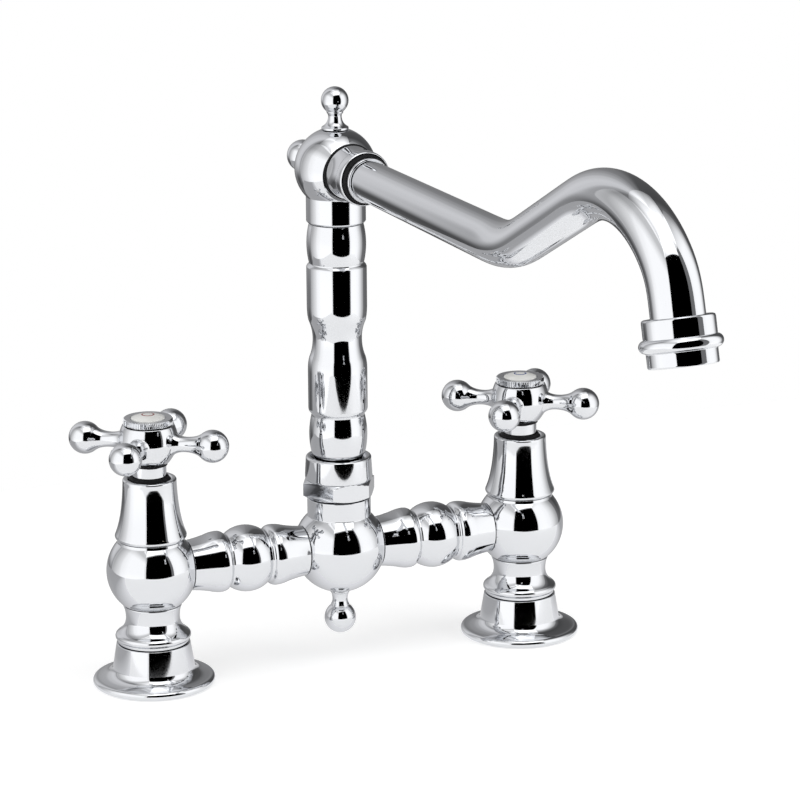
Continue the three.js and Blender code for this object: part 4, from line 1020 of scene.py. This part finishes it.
corner_radius = NUT_FLATS / math.cos(math.radians(30))
chamfer_foot = NUT_FLATS - 0.2
chamfer = [(chamfer_foot + (corner_radius - chamfer_foot) * i / CHAMFER_STEPS,
            CHAMFER_HEIGHT * i / CHAMFER_STEPS) for i in range(CHAMFER_STEPS + 1)]
hexagon_rows = [NUT_BOTTOM + 1.5 + i * (NUT_HEX_TOP - NUT_BOTTOM - 3) / 4 for i in range(5)]
nut_outline = [
    (MIXER_THREAD + 0.4, NUT_BOTTOM),
    *[(r, NUT_BOTTOM + z) for r, z in chamfer],
    *[(corner_radius, z) for z in hexagon_rows],
    *[(r, NUT_HEX_TOP - z) for r, z in reversed(chamfer)],
    (NUT_COLLAR, NUT_HEX_TOP + 0.02),
    (NUT_COLLAR + 0.15, NUT_HEX_TOP + 0.8),
    (NUT_COLLAR - 0.35, NUT_TOP - 1.4),
    *arc(NUT_COLLAR - 1.45, NUT_TOP - 1.1, 1.1, 0, 90, 7),
    (12.9, NUT_TOP - 0.15),
    (12.9, NUT_TOP - 1.9),
    (11.9, NUT_TOP - 1.9),
    (11.9, NUT_SEAT),
    (MIXER_THREAD + 0.4, NUT_SEAT),
]
nut = turned(nut_outline, soften=0, steps=NUT_STEPS)
for vertex in nut.verts:
    height = vertex.co.z / MM
    radius = vertex.co.xy.length / MM
    if NUT_BOTTOM - 0.01 < height < NUT_HEX_TOP + 0.01 and radius > NUT_FLATS - 0.3:
        around = math.degrees(math.atan2(vertex.co.y, vertex.co.x)) % 60
        flat_radius = NUT_FLATS / math.cos(math.radians(around - 30))
        if radius > flat_radius:
            vertex.co.xy *= flat_radius / radius
bmesh.ops.remove_doubles(nut, verts=nut.verts, dist=1e-7)
finished("hexagon_nut", nut, at(0, 0, 0), chrome, "body", "union_nut", smooth=24)


# ------------------------------------------------
# Riser: one long turned tube with a sealed spigot, a bulb, two cylinders either side of a waist
# and a second bulb. Chromed brass; it swivels in the mixing ball and carries the spout.
SPOUT_TURN = math.radians(5)
swivel = Matrix.Rotation(SPOUT_TURN, 4, "Z")
RISER_BORE = 5.8
RISER_BOTTOM = 66
RISER_SPIGOT = 9.2
SEAL_GROOVE = 7.4
GROOVE_WIDTH = 2.2
GROOVES_AT = (70.0, 79.0)
RISER_TOP = 203.2
TOP_SPIGOT = 9
TOP_SPIGOT_LENGTH = 8.5


def barrel(foot, full, bottom, top, steps=20):
    """A barrel flank: foot radius at both ends and full radius in the middle."""
    half = (top - bottom) / 2
    size = (half * half + (full - foot) ** 2) / (2 * (full - foot))
    spread = math.degrees(math.asin(half / size))
    return arc(full - size, (bottom + top) / 2, size, -spread, spread, steps)


seal_grooves = []
for z in GROOVES_AT:
    seal_grooves += [(RISER_SPIGOT, z), (SEAL_GROOVE, z), (SEAL_GROOVE, z + GROOVE_WIDTH),
                     (RISER_SPIGOT, z + GROOVE_WIDTH)]
riser_outline = [
    (RISER_BORE, RISER_BOTTOM), (8.6, RISER_BOTTOM), (RISER_SPIGOT, RISER_BOTTOM + 0.8),
    *seal_grooves,
    (RISER_SPIGOT, MIXER_TOP), (8.2, MIXER_TOP), (8.2, NUT_SEAT), (11.3, NUT_SEAT), (11.3, 96.6),
    (12.0, 97.2),
    *barrel(12.15, 13.1, 97.4, 114.4, 20),
    (12.0, 114.9),
    (11.95, 115.4),
    (12.1, 115.9),
    *sweep((12.3, 116.2), (13.35, 117.0), (13.35, 118.4), 8),
    (13.35, 128),
    *sweep((13.35, 135.5), (13.35, 139.9), (12.5, 142.1), 14),
    *sweep((12.5, 142.1), (11.05, 145.7), (11.05, 150.3), 14)[1:],
    *sweep((11.05, 150.3), (11.05, 154.6), (12.6, 158.2), 14)[1:],
    *sweep((12.6, 158.2), (13.5, 160.4), (13.5, 166), 16)[1:],
    (13.5, 175),
    (13.5, 183.3),
    (13.2, 184.0),
    (12.35, 184.9),
    (12.3, 185.4),
    *barrel(12.45, 13.3, 185.8, 201.8, 20),
    (12.25, 202.6),
    (12.3, RISER_TOP),
    (TOP_SPIGOT, RISER_TOP),
    (TOP_SPIGOT, RISER_TOP + TOP_SPIGOT_LENGTH),
    (RISER_BORE, RISER_TOP + TOP_SPIGOT_LENGTH),
]
finished("turned_riser", turned(riser_outline, soften=0.2), swivel, chrome, "spout",
         "riser_column")


# ------------------------------------------------
# Spout ball: a chromed ball on a short collar, screwed on the riser, with a seat in front for the
# spout's socket and one behind for a finial.
SPOUT_HEIGHT = 229
SPOUT_DROP = math.radians(2.5)
SPOUT_BALL = 18.2
BALL_DROP = 1.2
BALL_COLLAR = 13.3
FRONT_SEAT = 12.7
CHAMBER_TOP = 4
FINIAL_BASE = 6
head = swivel @ at(0, 0, SPOUT_HEIGHT)
ball_place = head @ at(0, 0, -BALL_DROP)
forwards = Matrix.Rotation(math.pi / 2 + SPOUT_DROP, 4, "X")
backwards = Matrix.Rotation(-math.pi / 2, 4, "X")

collar_foot = RISER_TOP + FIT - SPOUT_HEIGHT + BALL_DROP
finial_seat = height_on_ball(SPOUT_BALL, FINIAL_BASE)
front_face = height_on_ball(SPOUT_BALL, FRONT_SEAT)
low = -math.degrees(math.acos(BALL_COLLAR / SPOUT_BALL))
high = math.degrees(math.asin(finial_seat / SPOUT_BALL))
spout_ball_outline = [
    (0, CHAMBER_TOP), (6.5, CHAMBER_TOP), (6.5, collar_foot + TOP_SPIGOT_LENGTH),
    (TOP_SPIGOT + FIT, collar_foot + TOP_SPIGOT_LENGTH), (TOP_SPIGOT + FIT, collar_foot),
    (BALL_COLLAR - 0.7, collar_foot),
    (BALL_COLLAR, collar_foot + 0.7),
    *arc(0, 0, SPOUT_BALL, low, high, 44),
    (FINIAL_STUD + FIT, finial_seat),
    (FINIAL_STUD + FIT, finial_seat - stud_hole),
    (0, finial_seat - stud_hole),
]
mouth = seat_cutter(10.9, 4, front_face, FRONT_SEAT + 1, forwards @ Vector((0, 0, 1)),
                    (0, 0, BALL_DROP))
tail_hole = seat_cutter(FINIAL_STUD + FIT, finial_seat - stud_hole, finial_seat, FINIAL_BASE + 1,
                        backwards @ Vector((0, 0, 1)), (0, 0, 0))
finished("swivel_ball",
         hollowed(turned(spout_ball_outline, soften=0.2), (mouth, "DIFFERENCE"),
                  (tail_hole, "DIFFERENCE")),
         ball_place, chrome, "spout", "spout_ball")
finished("standing_finial",
         turned(finial_outline(SPOUT_BALL, FINIAL_BASE, 0.9, 2.95, 23.4, 3.75, 30.3, 6.1),
                0.15, FINIAL_STEPS),
         ball_place, chrome, "spout", "top_finial")
finished("tail_finial",
         turned(finial_outline(SPOUT_BALL, FINIAL_BASE, 0.9, 3.5, 22.6, 4.3, 33.0, 7.2),
                0.15, FINIAL_STEPS),
         ball_place @ backwards, chrome, "spout", "rear_finial")


# ------------------------------------------------
# Spout socket: a chromed collar screwed into the ball's front on a black rubber ring, with a wide
# band and a lip. A bright ring closes its mouth round the tube, and a black rubber ring fills the
# gap between the two as painted shade, so the gap shows dark.
COLLAR_END = 29.5
COLLAR_RECESS = 26.5
COLLAR_MOUTH = 11.4
TUBE_BORE = 9.3
TUBE_STOP = 8
RING_OUTER = 10.1
RING_LENGTH = 6.2

collar_face = front_face + FIT
collar_outline = [
    (TUBE_STOP, 7), (10.6, 7), (10.6, collar_face), (11.1, collar_face), (11.1, collar_face + 1.55),
    (11.8, collar_face + 1.6),
    (12.05, collar_face + 2.1),
    *sweep((12.0, collar_face + 2.8), (11.4, 20), (11.6, 23.8), 10),
    (11.75, 24.4),
    (12.1, 24.8),
    (12.25, 25.6),
    (12.25, 28.2),
    (12.1, 29.0),
    (11.8, COLLAR_END - 0.1),
    (11.6, COLLAR_END),
    (COLLAR_MOUTH, COLLAR_END - 0.3),
    (COLLAR_MOUTH, COLLAR_RECESS), (TUBE_BORE, COLLAR_RECESS), (TUBE_BORE, 8.5), (TUBE_STOP, 8.5),
]
joint_ring_outline = arc(11.85, collar_face + 0.76, 0.72, -180, 170, 34)
ring_low = COLLAR_RECESS + FIT
ring_high = ring_low + RING_LENGTH
tube_ring_outline = [
    (TUBE_BORE, ring_low), (RING_OUTER, ring_low), (RING_OUTER, ring_high - 0.9),
    (10.0, ring_high - 0.35),
    (9.75, ring_high), (9.4, ring_high - 0.05), (8.6, ring_high - 0.25), (8.6, ring_high - 1.2),
    (TUBE_BORE, ring_high - 1.6),
]
# Painted shade: a black ring that darkens the gap between the mouth ring and the collar.
gap_shade_bore = RING_OUTER + 0.05
gap_shade_edge = COLLAR_MOUTH - 0.05
gap_shade_outline = [
    (gap_shade_bore, ring_low), (gap_shade_edge, ring_low), (gap_shade_edge, COLLAR_END - 0.7),
    (11.1, COLLAR_END + 0.1), (10.5, COLLAR_END + 1.3), (gap_shade_bore, COLLAR_END + 1.6),
]
socket = head @ forwards
finished("socket_collar", turned(collar_outline, soften=0.15), socket, chrome, "spout",
         "spout_collar")
finished("mouth_ring", turned(tube_ring_outline, soften=0.15), socket, chrome, "spout",
         "tube_ring")
finished("joint_ring", turned(joint_ring_outline, soften=0), socket, rubber, "spout")
finished("mouth_gap_shade", turned(gap_shade_outline, soften=0.15), socket, rubber, "spout")


# ------------------------------------------------
# Spout tube: one drawn brass tube that swells towards its outlet, bent on formers into a long
# flat run, a dip and a high swan's neck, then polished and chromed.
TUBE_START = 10.5
TUBE_ROOT = 8.9
TUBE_END = 10.6
TUBE_WALL = 1
TUBE_STEP = 0.5
RUNS = ((146, 0), (26.616, 30.5), (51, 0), (68.068, -78), (13.614, -26), (13.8, 0))
BEND_EASE = 7

run_length = sum(length for length, bend in RUNS)


def slope_at(distance):
    """How steeply the tube climbs, in radians, at a length from the ball's centre."""
    climb = -SPOUT_DROP
    for length, bend in RUNS:
        part = min(max(distance, 0), length)
        climb += math.radians(bend) * part / length
        distance -= part
    return climb


def eased_slope(distance):
    """The slope, eased over the ends of each bend as a real tube's is."""
    samples = [slope_at(distance + BEND_EASE * (i / 4 - 1)) for i in range(9)]
    weights = [1, 2, 3, 4, 5, 4, 3, 2, 1]
    return sum(s * w for s, w in zip(samples, weights)) / sum(weights)


centre_line = [(0.0, 0.0)]
for i in range(int(run_length / TUBE_STEP) + 4):
    slope = eased_slope((i + 0.5) * TUBE_STEP)
    forward, up = centre_line[-1]
    centre_line.append((forward + TUBE_STEP * math.cos(slope), up + TUBE_STEP * math.sin(slope)))


def tube_place(distance):
    """Forward reach and height of the tube's centre at a length."""
    index = min(int(distance / TUBE_STEP), len(centre_line) - 2)
    share = distance / TUBE_STEP - index
    here, there = centre_line[index], centre_line[index + 1]
    return [here[k] + (there[k] - here[k]) * share for k in (0, 1)]


def tube_radius(distance):
    share = (distance - TUBE_START) / (run_length - TUBE_START)
    return TUBE_ROOT + (TUBE_END - TUBE_ROOT) * share


rings = int((run_length - TUBE_START) / 2)
tube_stations = [TUBE_START + (run_length - TUBE_START) * i / rings for i in range(rings + 1)]
tube_line = [(tube_radius(s), s) for s in tube_stations]
tube_line += [(tube_radius(s) - TUBE_WALL, s) for s in reversed(tube_stations)]
tube = turned(tube_line, soften=0)
for vertex in tube.verts:
    distance = vertex.co.z / MM
    slope = eased_slope(distance)
    forward, up = tube_place(distance)
    above = vertex.co.y / MM
    vertex.co.y = (-forward + above * math.sin(slope)) * MM
    vertex.co.z = (up + above * math.cos(slope)) * MM
bmesh.ops.recalc_face_normals(tube, faces=tube.faces)
finished("swan_tube", tube, head, chrome, "spout", "spout_tube")


# ------------------------------------------------
# Nozzle: a sleeve over the tube's end with a full round ring and a short tip, turned from brass,
# polished and chromed. It holds the aerator.
NOZZLE_LENGTH = 18.6
NOZZLE_MOUTH = 12.3
NOZZLE_RADIUS = 14.1
NOZZLE_TIP = 13.6
TUBE_ENTRY = 6

outlet_at = run_length - TUBE_ENTRY
outlet_slope = eased_slope(run_length)
forward, up = tube_place(outlet_at)
nozzle_place = head @ at(0, -forward, up) @ Matrix.Rotation(math.pi / 2 - outlet_slope, 4, "X")
nozzle_outline = [
    (TUBE_END + FIT, 0),
    (13.2, 0),
    (13.9, 0.35),
    (NOZZLE_RADIUS, 1.1),
    (NOZZLE_RADIUS, 7.2),
    (14.0, 7.7),
    *arc(13.5, 10.1, 2.6, -68, 68, 24),
    (13.7, 12.8),
    (NOZZLE_TIP, 13.2),
    (NOZZLE_TIP, NOZZLE_LENGTH - 0.7),
    (13.3, NOZZLE_LENGTH - 0.1),
    (12.9, NOZZLE_LENGTH),
    (NOZZLE_MOUTH, NOZZLE_LENGTH),
    (NOZZLE_MOUTH, TUBE_ENTRY + 0.4),
    (TUBE_END + FIT, TUBE_ENTRY + 0.4),
]
finished("nozzle", turned(nozzle_outline, soften=0.15), nozzle_place, chrome, "spout",
         "nozzle_shell")


# ------------------------------------------------
# Aerator: a brass housing with a steel screen, held in the nozzle on a rubber washer. It shows
# only from below.
refinish(brass[0], "aerator_housing")
refinish(steel, "aerator_screen")
